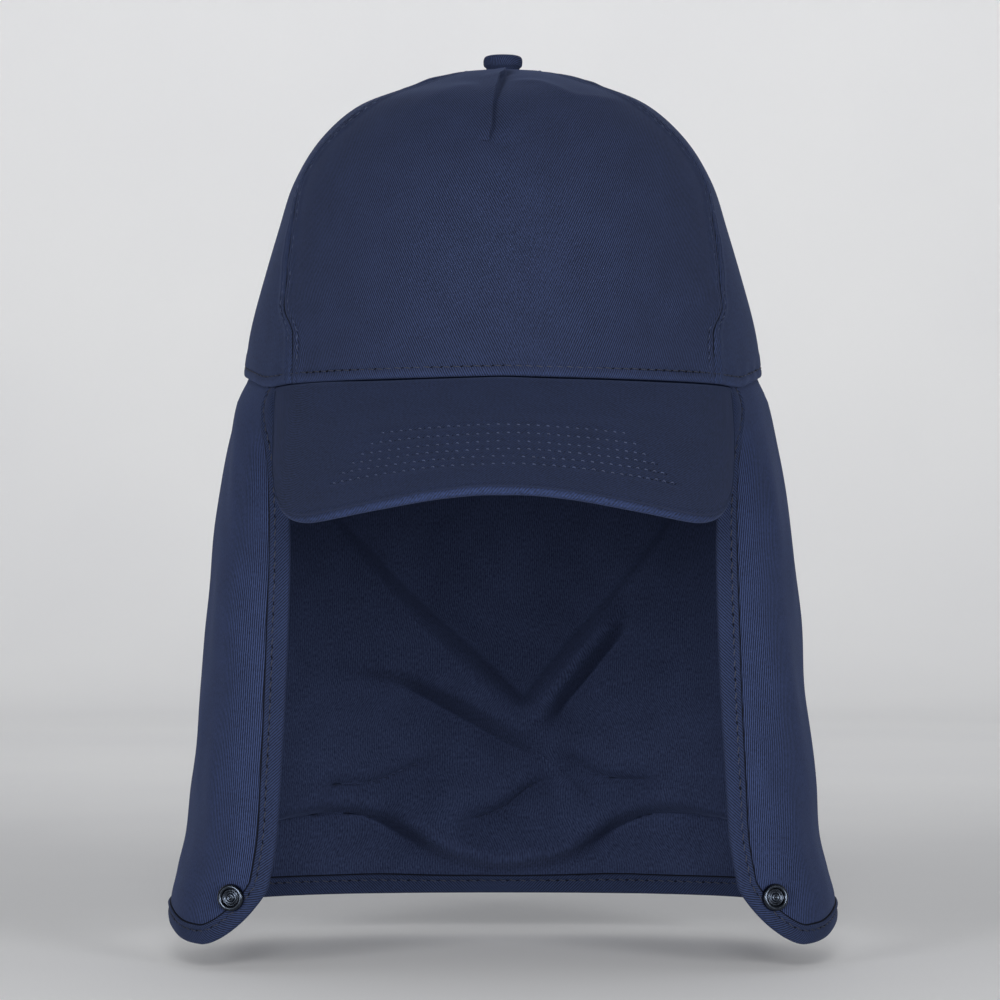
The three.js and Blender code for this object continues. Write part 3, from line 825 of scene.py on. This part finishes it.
def peakPiece():
    # the section runs along the top from the root, round the edge and back along the underside
    half = peak["thickness"] / 2
    even = np.linspace(0, 1, peak["columns"])
    u = mix(even, 0.5 - 0.5 * np.cos(even * math.pi), 0.35)
    width = np.linalg.norm(peakTop(u, 1.0) - peakTop(u, 0.0), axis=-1)[None]
    inset = np.concatenate([np.linspace(1, 0.12, 46), np.linspace(0.12, 0, 13)[1:]])[:, None]
    v = mix(half / width, 1.0, inset)
    grid = np.repeat(u[None], len(inset), 0)
    top = peakTop(grid, v)
    normals = normalAt(peakTop, grid, v, 1e-4, 1e-4)
    height = (peakRelief(top, v * width) * smooth(0, 2.5, (1 - v) * width))[..., None]
    lastNormal, centre = normals[-1], top[-1] - normals[-1] * half
    outward = unit(peakTop(u, v[-1] - 1e-3) - peakTop(u, v[-1] + 1e-3))
    turn = np.linspace(0, math.pi, 16)[1:-1, None, None]
    edge = centre + np.cos(turn) * lastNormal * (half + height[-1] * np.cos(turn / 2) ** 2)
    edge = edge + np.sin(turn) * outward * (half + peak["edgeBulge"] * np.sin(turn) ** 2)
    under = (top - normals * peak["thickness"])[::-1]
    loop = np.concatenate([top + normals * height, edge, under])
    away = runningLength(loop, 0)
    made = loopShell("peak_cloth", loop, np.stack([loop[..., 0], away[-1:] / 2 - away], -1), peakTwill)
    ride(made, "peak")


peakPiece()
print("peak made")


# neck flap: one sheet hung from inside the rim, with the folds that the cloth has taken

flap = {
    "depth": 191.0,
    "width": 237.2,
    "rearReach": 99.0,
    "frontReach": 80.0,
    "frontTurn": 0.95,  # how far the front edges turn to face forwards
    "rearBow": 0.6,
    "rimFade": 3.0,
    "wall": 1.2,
    "tuck": 8.0,
    "tuckPlay": 0.6,
    "lobeDrop": 6.0,
    "cornerRise": 20.0,
    "cornerAngle": 17.5,
    "cornerPower": 1.6,  # 2 is an ellipse, 1 is a straight cut
    "edgeInBinding": 1.3,  # the cloth ends this far inside the bound edge
    "rows": (120, 18),
    "sideColumns": 42,
    "backColumns": 116,
}
flapSections = table(
    "down spread narrow flat edge",
    (0.0, 0.0, 0.0, 0.0, 60.6),
    (0.02, 0.08, 0.02, 0.03, 60.2),
    (0.05, 0.175, 0.06, 0.08, 57.9),
    (0.12, 0.28, 0.25, 0.18, 52),
    (0.2, 0.375, 0.5, 0.3, 48.5),
    (0.3, 0.455, 0.75, 0.45, 46.5),
    (0.44, 0.565, 0.95, 0.65, 45.2),
    (0.6, 0.65, 1.0, 0.85, 44.8),
    (0.74, 0.72, 1.0, 0.95, 44.9),
    (0.84, 0.775, 1.0, 1.0, 45),
    (0.91, 0.89, 1.0, 1.0, 45),
    (0.96, 0.985, 1.0, 1.0, 45),
    (1.05, 1.0, 1.0, 1.0, 45),
)
hemLine = table(
    "angle drop",
    (45, 1.0),
    (60, 1.0),
    (65, 0.97),
    (70, 0.88),
    (75, 0.64),
    (80, 0.36),
    (86, 0.12),
    (94, 0.0),
    (180, 0.0),
)
# Folds of the back as lines of (across, down). across is -1 at the left front edge, 0 at the middle
# of the back and 1 at the right front edge; down is a share of the depth. Then the rise towards the
# head in mm, the width above and below a line drawn from left to right, and the roundness.
flapFolds = [
    ([(0.03, 0.672), (0.056, 0.641), (0.085, 0.586), (0.132, 0.514), (0.201, 0.424)], 6.5, 3.4, 4.4, 1.4),
    ([(0.06, 0.67), (0.079, 0.645), (0.109, 0.598), (0.154, 0.528), (0.2, 0.46)], -6.0, 3.0, 8.0, 0.9),
    ([(-0.287, 0.3), (-0.214, 0.371), (-0.144, 0.458), (-0.056, 0.559), (0.02, 0.65)], 5.0, 2.6, 12.0, 1.4),
    ([(-0.277, 0.544), (-0.175, 0.551), (-0.081, 0.598), (0.024, 0.67), (0.075, 0.69)], 6.2, 13.0, 3.0, 1.0),
    ([(-0.19, 0.575), (-0.136, 0.597), (-0.054, 0.657), (0.007, 0.705), (0.07, 0.74)], -7.6, 3.2, 12.0, 0.8),
    ([(0.085, 0.641), (0.163, 0.587), (0.23, 0.546), (0.326, 0.496)], 3.0, 8.0, 4.0, 1.8),
    (
        [(-0.46, 0.885), (-0.394, 0.866), (-0.306, 0.846), (-0.246, 0.841)]
        + [(-0.195, 0.849), (-0.146, 0.88), (-0.091, 0.922)],
        *(-8.6, 3.0, 13.0, 0.6),
    ),
    (
        [(-0.44, 0.855), (-0.306, 0.822), (-0.246, 0.817), (-0.18, 0.83), (-0.13, 0.862), (-0.08, 0.9)],
        *(5.2, 11.0, 3.2, 1.0),
    ),
    (
        [(0.075, 0.928), (0.126, 0.893), (0.173, 0.862), (0.222, 0.841)]
        + [(0.285, 0.841), (0.396, 0.863), (0.46, 0.885)],
        *(-8.6, 3.0, 13.0, 0.6),
    ),
    ([(0.11, 0.876), (0.16, 0.842), (0.222, 0.817), (0.285, 0.817), (0.44, 0.855)], 5.2, 11.0, 3.2, 1.0),
    (
        [(-0.175, 0.81), (-0.154, 0.838), (-0.111, 0.88), (-0.052, 0.916)]
        + [(0.007, 0.928), (0.091, 0.905), (0.148, 0.857), (0.17, 0.81)],
        *(9.4, 12.0, 3.2, 0.9),
    ),
    (
        [(-0.075, 0.862), (-0.032, 0.849), (0.007, 0.824), (0.042, 0.788), (0.085, 0.768)],
        *(-7.4, 2.8, 11.0, 0.7),
    ),
    (
        [(-0.3, 0.786), (-0.242, 0.782), (-0.189, 0.777), (-0.115, 0.74), (-0.08, 0.715)],
        *(-5.6, 2.4, 10.0, 0.7),
    ),
    ([(0.075, 0.71), (0.107, 0.74), (0.134, 0.763), (0.185, 0.774), (0.25, 0.768)], -5.6, 2.4, 10.0, 0.7),
    ([(-0.152, 0.785), (-0.091, 0.768), (-0.005, 0.761), (0.05, 0.746)], -1.8, 2.5, 7.0, 1.0),
]
# The middle of the back is set back between two lines that meet low down.
flapRecess = {
    "left": [(-0.6, 0.0), (-0.287, 0.27), (-0.214, 0.341), (-0.144, 0.428)]
    + [(-0.056, 0.529), (0.034, 0.646), (0.2, 0.86)],
    "right": [(-0.12, 0.86), (0.044, 0.621), (0.069, 0.576), (0.116, 0.504), (0.199, 0.385), (0.5, 0.0)],
    "depth": 6.0,
    "edge": (-1.5, 4.5),  # mm across each line, from the level outside to the full depth
}
flapArc = flap["width"] / 2 * math.pi * 0.75


def onCloth(line):
    # points given as shares of the flap, turned into mm across and up
    return [(across * flapArc, -down * flap["depth"]) for across, down in line]


def recessHeight(x, up, down):
    inside = 1.0
    for line in (flapRecess["left"], flapRecess["right"]):
        away, _ = nearestOnLine(np.array(onCloth(line)), x, up)
        inside = inside * smooth(*flapRecess["edge"], away)
    return -flapRecess["depth"] * inside * smooth(0.04, 0.6, down)


def foldHeight(across, down):
    x, up = across * flapArc, -down * flap["depth"]
    calm = smooth(0, 26, (1 - np.abs(across)) * flapArc) * smooth(4, 22, (1 - down) * flap["depth"])
    calm = calm * smooth(-2, 18, down * flap["depth"])
    creases = [(onCloth(line), *rest) for line, *rest in flapFolds]
    rise = creaseHeight(creases, x, up) * smooth(2, 12, (1 - down) * flap["depth"])
    rise = rise + recessHeight(x, up, down)
    return rise + (1.1 * ripple(x, up, 3, 70.0) + 0.35 * ripple(x, up, 4, 24.0)) * calm


def flapBase(angle, depth):
    # smooth outside of the flap; above the rim it follows the crown's inside
    turn, down = np.radians(angle), depth / flap["depth"]
    inset = crown["wall"] + flap["tuckPlay"]
    climb = np.maximum(-depth, 0) / crown["height"] * (crownSections["climb"][1] / crownSections["height"][1])

    def half(size, column, share, far):
        above = size / 2 * readTable(crownSections, "climb", column, climb) - inset
        return mix(above, far, readTable(flapSections, "down", share, down))

    side = half(crown["width"], "side", "spread", flap["width"] / 2)
    front = half(crown["length"], "front", "narrow", flap["frontReach"])
    rear = half(crown["length"], "back", "flat", flap["rearReach"])
    c = np.cos(turn)
    edge = np.cos(np.radians(readTable(flapSections, "down", "edge", down)))
    faced = edge * np.sin(math.pi / 2 * np.clip(c / edge, 0, 1))
    forward = mix(c, faced, flap["frontTurn"] * readTable(flapSections, "down", "narrow", down))
    bow = flap["rearBow"] * readTable(flapSections, "down", "flat", down) * (np.sin(-c * math.pi / 2) + c)
    z = rimHeight(angle) * np.clip(1 - down * flap["rimFade"], 0, 1) - depth
    return np.stack([side * np.sin(turn), np.where(c > 0, -front * forward, rear * (bow - c)), z], -1)


def flapSmooth(u, up):
    # u runs from the right front edge round the back to the left one
    edge = readTable(flapSections, "down", "edge", -up / flap["depth"])
    return flapBase(mix(edge, 360 - edge, u), -up)


def flapPoint(u, up):
    rise = foldHeight(1 - 2 * u, -up / flap["depth"])
    return flapSmooth(u, up) - normalAt(flapSmooth, u, up, 1e-4, 1e-2) * rise[..., None]


flapStepU, flapStepUp = 1e-3, 0.3  # small steps of u and in mm, wide enough to even out a crease


def flapNormal(u, up):
    return normalAt(flapPoint, u, up, flapStepU, flapStepUp)


def hemDepth(u):
    # depth of the cloth's lower edge: it drops at the front and rounds off into the front edges
    edge = flapSections["edge"][-1]
    angle = mix(edge, 180, 1 - np.abs(1 - 2 * u))
    corner = np.clip(1 - (angle - edge) / flap["cornerAngle"], 0, 1)
    drop = flap["lobeDrop"] * readTable(hemLine, "angle", "drop", angle)
    power = flap["cornerPower"]
    rise = flap["cornerRise"] * (1 - (1 - corner**power) ** (1 / power))
    return flap["depth"] - flap["edgeInBinding"] + drop - rise


def flapColumns():
    # fine across the folded back, coarser at the sides, and following the round corners at both ends
    corner = flap["cornerAngle"] / (360 - 2 * flapSections["edge"][-1])
    bend = corner * (1 - np.cos(np.linspace(0, math.pi / 2, 13)))
    side = np.linspace(corner, 0.26, flap["sideColumns"])
    back = np.linspace(0.26, 0.5, flap["backColumns"])
    left = np.concatenate([bend[:-1], side[:-1], back])
    return np.concatenate([left, 1 - left[-2::-1]])


def flapRows():
    # fine where the inside shows below the peak, coarser above
    low, high = flap["rows"]
    return np.concatenate([np.linspace(0, 0.7, low), np.linspace(0.7, 1, high + 1)[1:]])[:, None]


def flapPiece():
    u = flapColumns()
    up = mix(-hemDepth(u)[None], flap["tuck"], flapRows())
    grid = np.repeat(u[None], len(up), 0)
    outer = flapPoint(grid, up)
    inner = outer - flapNormal(grid, up) * flap["wall"]
    # the ribs run along both front edges, and even out towards the middle of the back
    across = runningLength(outer, 1)
    spare = (across[:, -1:] - across[:, -1].mean()) / 2
    uv = np.stack([across - across[:, -1:] / 2 + spare * np.cos(math.pi * u), up], -1)
    made = clothShell("neck_flap_cloth", outer, inner, uv, flapTwill, flapReverse)
    wide = np.linalg.norm(np.diff(outer, axis=1)[:-1], axis=-1)
    high = np.linalg.norm(np.diff(outer, axis=0)[:, :-1], axis=-1)
    area, hem = (wide * high).sum() * millimetre**2, across[0, -1] * millimetre
    print("flap: area", round(float(area), 4), "hem", round(float(hem), 3))
    return ride(made, "neck_flap")


flapCloth = flapPiece()
print("flap made")


# binding: tape folded over the flap's edge, from the rim down the front edge, along the hem and up

binding = {
    "top": 0.6,  # below the rim
    "step": 1.3,
    "width": 5.45,  # inwards from the cloth's edge
    "wider": 0.16,  # extra share of the width half-way down the front edges
    "section": [
        # inset from the cloth's edge as a share of the width, lift off the cloth's face
        (1.0, 0.02),
        (0.99, 0.45),
        (0.95, 0.8),
        (0.89, 0.92),
        (0.82, 0.8),
        (0.74, 0.45),
        (0.66, 0.28),
        (0.57, 0.45),
        (0.44, 0.62),
        (0.28, 0.68),
        (0.1, 0.62),
        (-0.06, 0.5),
        (-0.155, 0.15),
        (-0.2, -0.3),
    ],
    "stitchInset": 0.66,
    "turningRadius": 0.34,  # the shade along the turned-in edge, a thin cord beside it
    "turningInset": 1.03,
    "turningLift": 0.05,
}


def bindingPath():
    # places (u, up) at even steps along the flap's edge
    side = np.linspace(0, 1, 400)
    hem = np.concatenate([0.1 * (1 - np.cos(side * math.pi / 2)), np.linspace(0.1, 0.9, 800)[1:-1]])
    hem = np.concatenate([hem, 1 - 0.1 * (1 - np.cos(side * math.pi / 2))[::-1]])
    down = mix(-binding["top"], -hemDepth(np.zeros(1))[0], side[:-1])
    u = np.concatenate([np.zeros(399), hem, np.ones(399)])
    up = np.concatenate([down, -hemDepth(hem), down[::-1]])
    length = runningLength(flapPoint(u, up), 0)
    at = np.linspace(0, length[-1], int(length[-1] / binding["step"]))
    return np.interp(at, length, u), np.interp(at, length, up), at


pathU, pathUp, pathLength = bindingPath()


def slide(u, up, inset, lift):
    # from places on the edge go inwards along the cloth by inset, then off its face by lift
    points = flapPoint(u, up)
    along = unit(np.gradient(points, axis=0))
    inward = unit(np.cross(flapNormal(u, up), along))
    perU = (flapPoint(u + flapStepU, up) - flapPoint(u - flapStepU, up)) / (2 * flapStepU)
    perUp = (flapPoint(u, up + flapStepUp) - flapPoint(u, up - flapStepUp)) / (2 * flapStepUp)
    uu, uv, vv = (perU * perU).sum(-1), (perU * perUp).sum(-1), (perUp * perUp).sum(-1)
    gainU, gainUp = (inward * perU).sum(-1), (inward * perUp).sum(-1)
    scale = 1 / (uu * vv - uv * uv)
    moveU = scale * (gainU * vv - gainUp * uv)
    moveUp = scale * (gainUp * uu - gainU * uv)
    newU = u[None] + inset * moveU[None]
    newUp = up[None] + inset * moveUp[None]
    normals = flapNormal(newU, newUp)
    return flapPoint(newU, newUp) + normals * lift[..., None], normals


def bindingWidthAt(length):
    # the tape shows a little wider half-way down the front edges
    total = length[-1]
    fromEnd = np.minimum(length, total - length)
    return binding["width"] * (1 + binding["wider"] * bell(fromEnd - 85, 62))


def bindingPiece():
    outer = np.array(binding["section"])
    inner = np.stack([outer[::-1, 0], -flap["wall"] - outer[::-1, 1]], -1)
    section = np.concatenate([outer, inner])
    width = bindingWidthAt(pathLength)
    inset = section[:, :1] * width[None]
    wave = 0.06 * ripple(pathLength, pathLength * 0, 71, 9.0)
    lift = section[:, 1:] + wave[None] * np.sign(section[:, 1:] + flap["wall"] / 2)
    points, _ = slide(pathU, pathUp, inset, lift)
    away = runningLength(points, 0)
    along = np.repeat(np.abs(pathLength - pathLength[-1] / 2)[None], len(section), 0)
    made = loopShell("flap_binding_cloth", points, np.stack([along, away], -1), bindingTwill)
    return ride(made, "flap_binding")


def bindingShade():
    # the tape's turned-in edges lie in shade, as a thin dark line along both faces
    turn = np.arange(6)[:, None] * math.pi / 3
    made = []
    for face, name in ((1, "outer"), (-1, "inner")):
        radius, lift = binding["turningRadius"], binding["turningLift"]
        inset = binding["turningInset"] * bindingWidthAt(pathLength)[None] + radius * np.cos(turn)
        middle = lift if face > 0 else -flap["wall"] - lift
        points, _ = slide(pathU, pathUp, inset, middle + radius * np.sin(turn) + 0 * inset)
        uv = np.stack(np.broadcast_arrays(pathLength[None], turn), -1)
        made.append(ride(loopShell("flap_binding_turning_" + name, points, uv, paintedShade)))
    return made


bindingCloth = bindingPiece()
bindingEdges = bindingShade()
print("binding made")


# snaps at the front corners

snap = {
    "radius": 4.8,
    "height": 2.1,
    "angle": 52.9,
    "rise": 11.1,
    "sink": 0.5,
    "plate": 0.7,
    "shank": 0.33,  # share of the radius
    "sides": 72,
    "back": [
        # share of the radius, share of the plate's thickness behind its front
        (0.0, 1.0),
        (0.6, 1.0),
        (0.84, 0.85),
        (0.9, 0.5),
        (0.88, 0.0),
    ],
    "face": [
        # share of the radius, share of the height above the cloth
        (0.9, -0.1),
        (0.985, 0.05),
        (1.0, 0.3),
        (0.985, 0.6),
        (0.94, 0.82),
        (0.87, 0.96),
        (0.79, 1.0),
        (0.71, 0.95),
        (0.655, 0.8),
        (0.62, 0.6),
        (0.585, 0.5),
        (0.55, 0.47),
        (0.52, 0.55),
        (0.48, 0.56),
        (0.45, 0.46),
        (0.4, 0.4),
        (0.34, 0.4),
        (0.31, 0.48),
        (0.29, 0.66),
        (0.26, 0.74),
        (0.2, 0.76),
        (0.14, 0.74),
        (0.11, 0.62),
        (0.07, 0.6),
        (0.035, 0.66),
        (0.0, 0.68),
    ],
}


def snapPlace(hand):
    drop = flap["depth"] - snap["rise"]
    edge = float(readTable(flapSections, "down", "edge", np.array(drop / flap["depth"])))
    share = (snap["angle"] - edge) / (360 - 2 * edge)
    u, up = np.array(share if hand > 0 else 1 - share), np.array(-drop)
    return flapPoint(u, up), flapNormal(u, up)


def snapPiece(node, hand):
    place, normal = snapPlace(hand)
    radius, height, sink = snap["radius"], snap["height"], snap["sink"]
    back = -flap["wall"] - sink
    under = [(share * radius, back - behind * snap["plate"]) for share, behind in snap["back"]]
    under += [(snap["shank"] * radius, back + 0.05), (snap["shank"] * radius, 0.1), (0.86 * radius, 0.15)]
    face = [(share * radius, sink + rise * height) for share, rise in snap["face"]]
    made = lathe(node + "_metal", under + face, snap["sides"], place, normal, nickel)
    ride(made, node)


snapPiece("snap_left", -1)
snapPiece("snap_right", 1)
print("snaps made")


# stitches: short bent threads between needle holes, along lines on the cloth


def stitchTemplate(rings, sides):
    # faces of one thread: rings side by side, closed on a tip at each end
    last = rings * sides
    first = np.arange(sides)
    tips = [fan(first[::-1], last), fan(first + last - sides, last + 1)]
    return np.concatenate([gridFaces(rings, sides, closed=True), *tips])


sampleStep = 0.3  # mm before and after a place, for the direction of the line there


def sampleLine(points, normals, at):
    # places at the given distances along a line, with the cloth's normal and the line's direction
    length = runningLength(points, 0)
    place = np.stack([np.interp(at, length, points[:, k]) for k in range(3)], -1)
    upward = np.stack([np.interp(at, length, normals[:, k]) for k in range(3)], -1)
    ahead = np.stack([np.interp(at + sampleStep, length, points[:, k]) for k in range(3)], -1)
    behind = np.stack([np.interp(at - sampleStep, length, points[:, k]) for k in range(3)], -1)
    return place, unit(upward), unit(ahead - behind)


def sew(
    name,
    lines,
    pitch,
    radius,
    slot,
    material,
    holeSize,
    holeLength=1.0,
    slant=0.18,
    lift=0.1,
    fill=0.78,
    uneven=0.04,
):
    # a thread rises out of one hole, bends over the cloth and goes down into the next; it fills a
    # share of the pitch, slants across the line by a length in mm and strays from it by uneven
    random = np.random.default_rng(7)
    t = np.linspace(-1, 1, 7)
    turn = np.arange(6) * math.pi / 3
    threads, holes = [], []
    for points, normals in lines:
        total = runningLength(points, 0)[-1]
        count = int(total / pitch)
        middle = (np.arange(count) + 0.5) * total / count
        place, upward, forward = sampleLine(points, normals, middle[:, None] + t[None] * pitch / 2 * fill)
        sideways = np.cross(forward, upward)
        rise = lift + radius * (1 - t**4) * 0.9 - radius * 1.6 * t**6
        centre = place + upward * rise[None, :, None] + sideways * (slant * t)[None, :, None]
        stray = [random.normal(0, uneven, (count, 1, 1)) for _ in range(2)]
        centre = centre + upward * stray[0] + sideways * stray[1]
        size = radius * np.sqrt(1 - 0.6 * t**6)[None, :, None, None]
        ring = upward[:, :, None] * np.cos(turn)[:, None] + sideways[:, :, None] * np.sin(turn)[:, None]
        body = (centre[:, :, None] + ring * size).reshape(count, -1, 3)
        tips = [centre[:, end] + hand * forward[:, end] * radius * 0.5 for end, hand in ((0, -1), (-1, 1))]
        threads.append(np.concatenate([body, np.stack(tips, 1)], 1))
        # each needle hole gets a small near-black body: painted shade in the hole
        place, upward, forward = sampleLine(points, normals, np.arange(count + 1) * total / count)
        sideways = np.cross(forward, upward)
        eight = np.arange(8) * math.pi / 4
        lean = unit(forward - 0.5 * sideways)
        wide = unit(np.cross(lean, upward))
        rim = wide[:, None] * np.cos(eight)[:, None] * 0.6
        rim = rim + lean[:, None] * np.sin(eight)[:, None] * holeLength
        low = place[:, None] + rim * holeSize + upward[:, None] * (lift - 0.25)
        high = place[:, None] + rim * holeSize * 0.75 + upward[:, None] * (lift + 0.02)
        ends = place[:, None] + upward[:, None] * np.array([lift - 0.3, lift + 0.04])[None, :, None]
        holes.append(np.concatenate([low, high, ends], 1))
    made = []
    for part, groups, template, look in (
        ("_thread", threads, stitchTemplate(7, 6), material),
        ("_hole_shade", holes, stitchTemplate(2, 8), paintedShade),
    ):
        points = np.concatenate(groups)
        if handedness(points[0], template) < 0:
            template = template[:, ::-1]
        faces = (template[None] + (np.arange(len(points)) * points.shape[1])[:, None, None]).reshape(-1, 4)
        made.append(ride(meshObject(name + part, points.reshape(-1, 3), faces, look)))
    return made


def handedness(points, faces):
    # above zero when the faces of a closed body point outwards
    middle = points.mean(0)
    a, b, c = (points[faces[:, k]] - middle for k in (0, 1, 2))
    return float((a * np.cross(b, c)).sum())


def alongSeam(line, hand, away, lowest=0.022, highest=0.93):
    # a line on the crown at a fixed distance from a seam
    climb = np.linspace(lowest, highest, 260)
    angle = line(climb)
    perDegree = np.linalg.norm(crownPoint(angle + 0.5, climb) - crownPoint(angle - 0.5, climb), axis=-1)
    angle = angle + hand * np.minimum(away / perDegree, 12)
    return crownPoint(angle, climb), crownNormal(angle, climb)


def crownStitches():
    around = np.linspace(-180, 180, 1200)
    climb = np.full(1200, crown["stitchFromRim"] / crown["slant"])
    lines = [(crownPoint(around, climb), crownNormal(around, climb))]
    for line in (frontSeam, mirrored(frontSeam), sideSeam, mirrored(sideSeam), backSeam):
        for hand in (-1, 1):
            lines.append(alongSeam(line, hand, crown["stitchFromSeam"]))
    sew("rim_stitches", lines[:1], 3.5, 0.18, "crown_twill", thread, holeSize=0.5, holeLength=1.3)
    sew("seam_stitches", lines[1:], 3.5, 0.15, "crown_twill", litThread, holeSize=0.2, lift=0.0, fill=0.5)


def peakLid(x, y):
    return np.stack([x, y, peakHeight(x, y)], -1)


def peakStitches():
    lines = []
    for start, half in zip(stitchRows["forward"], stitchRows["half"]):
        x = np.linspace(-half, half, 300)
        wander = 0.22 * ripple(x, x * 0, 90 + len(lines), 26.0)
        y = rimFront(x, 0) - start - peak["rowBow"] * (x / half) ** 2 + wander
        lines.append((peakLid(x, y), normalAt(peakLid, x, y, 1e-2, 1e-2)))
    shape = {"holeSize": 0.3, "lift": 0.0, "fill": 0.36, "uneven": 0.07}
    sew("peak_stitches", lines, 3.3, 0.2, "crown_twill", litThread, **shape)


def flapStitches():
    width = bindingWidthAt(pathLength)
    inset = np.full((1, len(width)), binding["stitchInset"]) * width[None]
    lines = []
    for face, lift in ((1, 0.24), (-1, -flap["wall"] - 0.24)):
        points, normals = slide(pathU, pathUp, inset, np.full_like(inset, lift))
        lines.append((points[0], normals[0] * face))
    shape = {"holeSize": 0.8, "holeLength": 1.6, "slant": 0.34, "lift": 0.08}
    return sew("flap_stitches", lines, 3.75, 0.2, "binding_twill", thread, **shape)


crownStitches()
peakStitches()
flapSewing = flapStitches()
print("stitches made")


# studio: pale floor that curves up behind, and soft lights

studio = {
    "floor": -206.0,
    "turnUp": 1900.0,
    "bend": 600.0,
    "side": 3600.0,
    "front": -2600.0,
    "top": 2600.0,
    "worldStrength": 0.27,
    "lights": [
        # place and aim in mm, size in mm, power in W
        ("front softbox on the left", (-960, -1820, 110), (0, 0, -40), 700, 26.5),
        ("front softbox on the right", (960, -1820, 110), (0, 0, -40), 700, 26.5),
        ("softbox above the camera", (0, -1850, 540), (0, 0, -40), 400, 10.5),
        ("background softbox", (0, 900, 1300), (0, 2500, 500), 900, 7.5),
    ],
}


def makeStudio():
    turn = np.linspace(0, math.pi / 2, 24)
    back = studio["turnUp"] + studio["bend"] * np.sin(turn)
    y = np.concatenate([[studio["front"]], back, back[-1:]])
    z = np.concatenate([[0], studio["bend"] * (1 - np.cos(turn)), [studio["top"]]]) + studio["floor"]
    x = np.linspace(-studio["side"], studio["side"], 9)
    grid = np.stack(np.broadcast_arrays(x[None], y[:, None], z[:, None]), -1)
    made = meshObject("studio_floor", grid.reshape(-1, 3), gridFaces(len(y), len(x)), board)


def makeLight(name, place, aim, size, power):
    data = bpy.data.lights.new(name, "AREA")
    data.shape = "DISK"
    data.size = size * millimetre
    data.energy = power
    light = bpy.data.objects.new(name, data)
    light.location = [value * millimetre for value in place]
    toward = unit(np.array(aim, float) - np.array(place, float))
    light.rotation_euler = (math.acos(-toward[2]), 0, math.atan2(-toward[0], toward[1]))
    scene.collection.objects.link(light)


makeStudio()
for light in studio["lights"]:
    makeLight(*light)
world = bpy.data.worlds.new("even pale room")
world.use_nodes = True
world.node_tree.nodes["Background"].inputs[0].default_value = linear("#f4f6fa")
world.node_tree.nodes["Background"].inputs[1].default_value = studio["worldStrength"]
scene.world = world
scene.view_settings.view_transform = "Standard"
print("studio made")
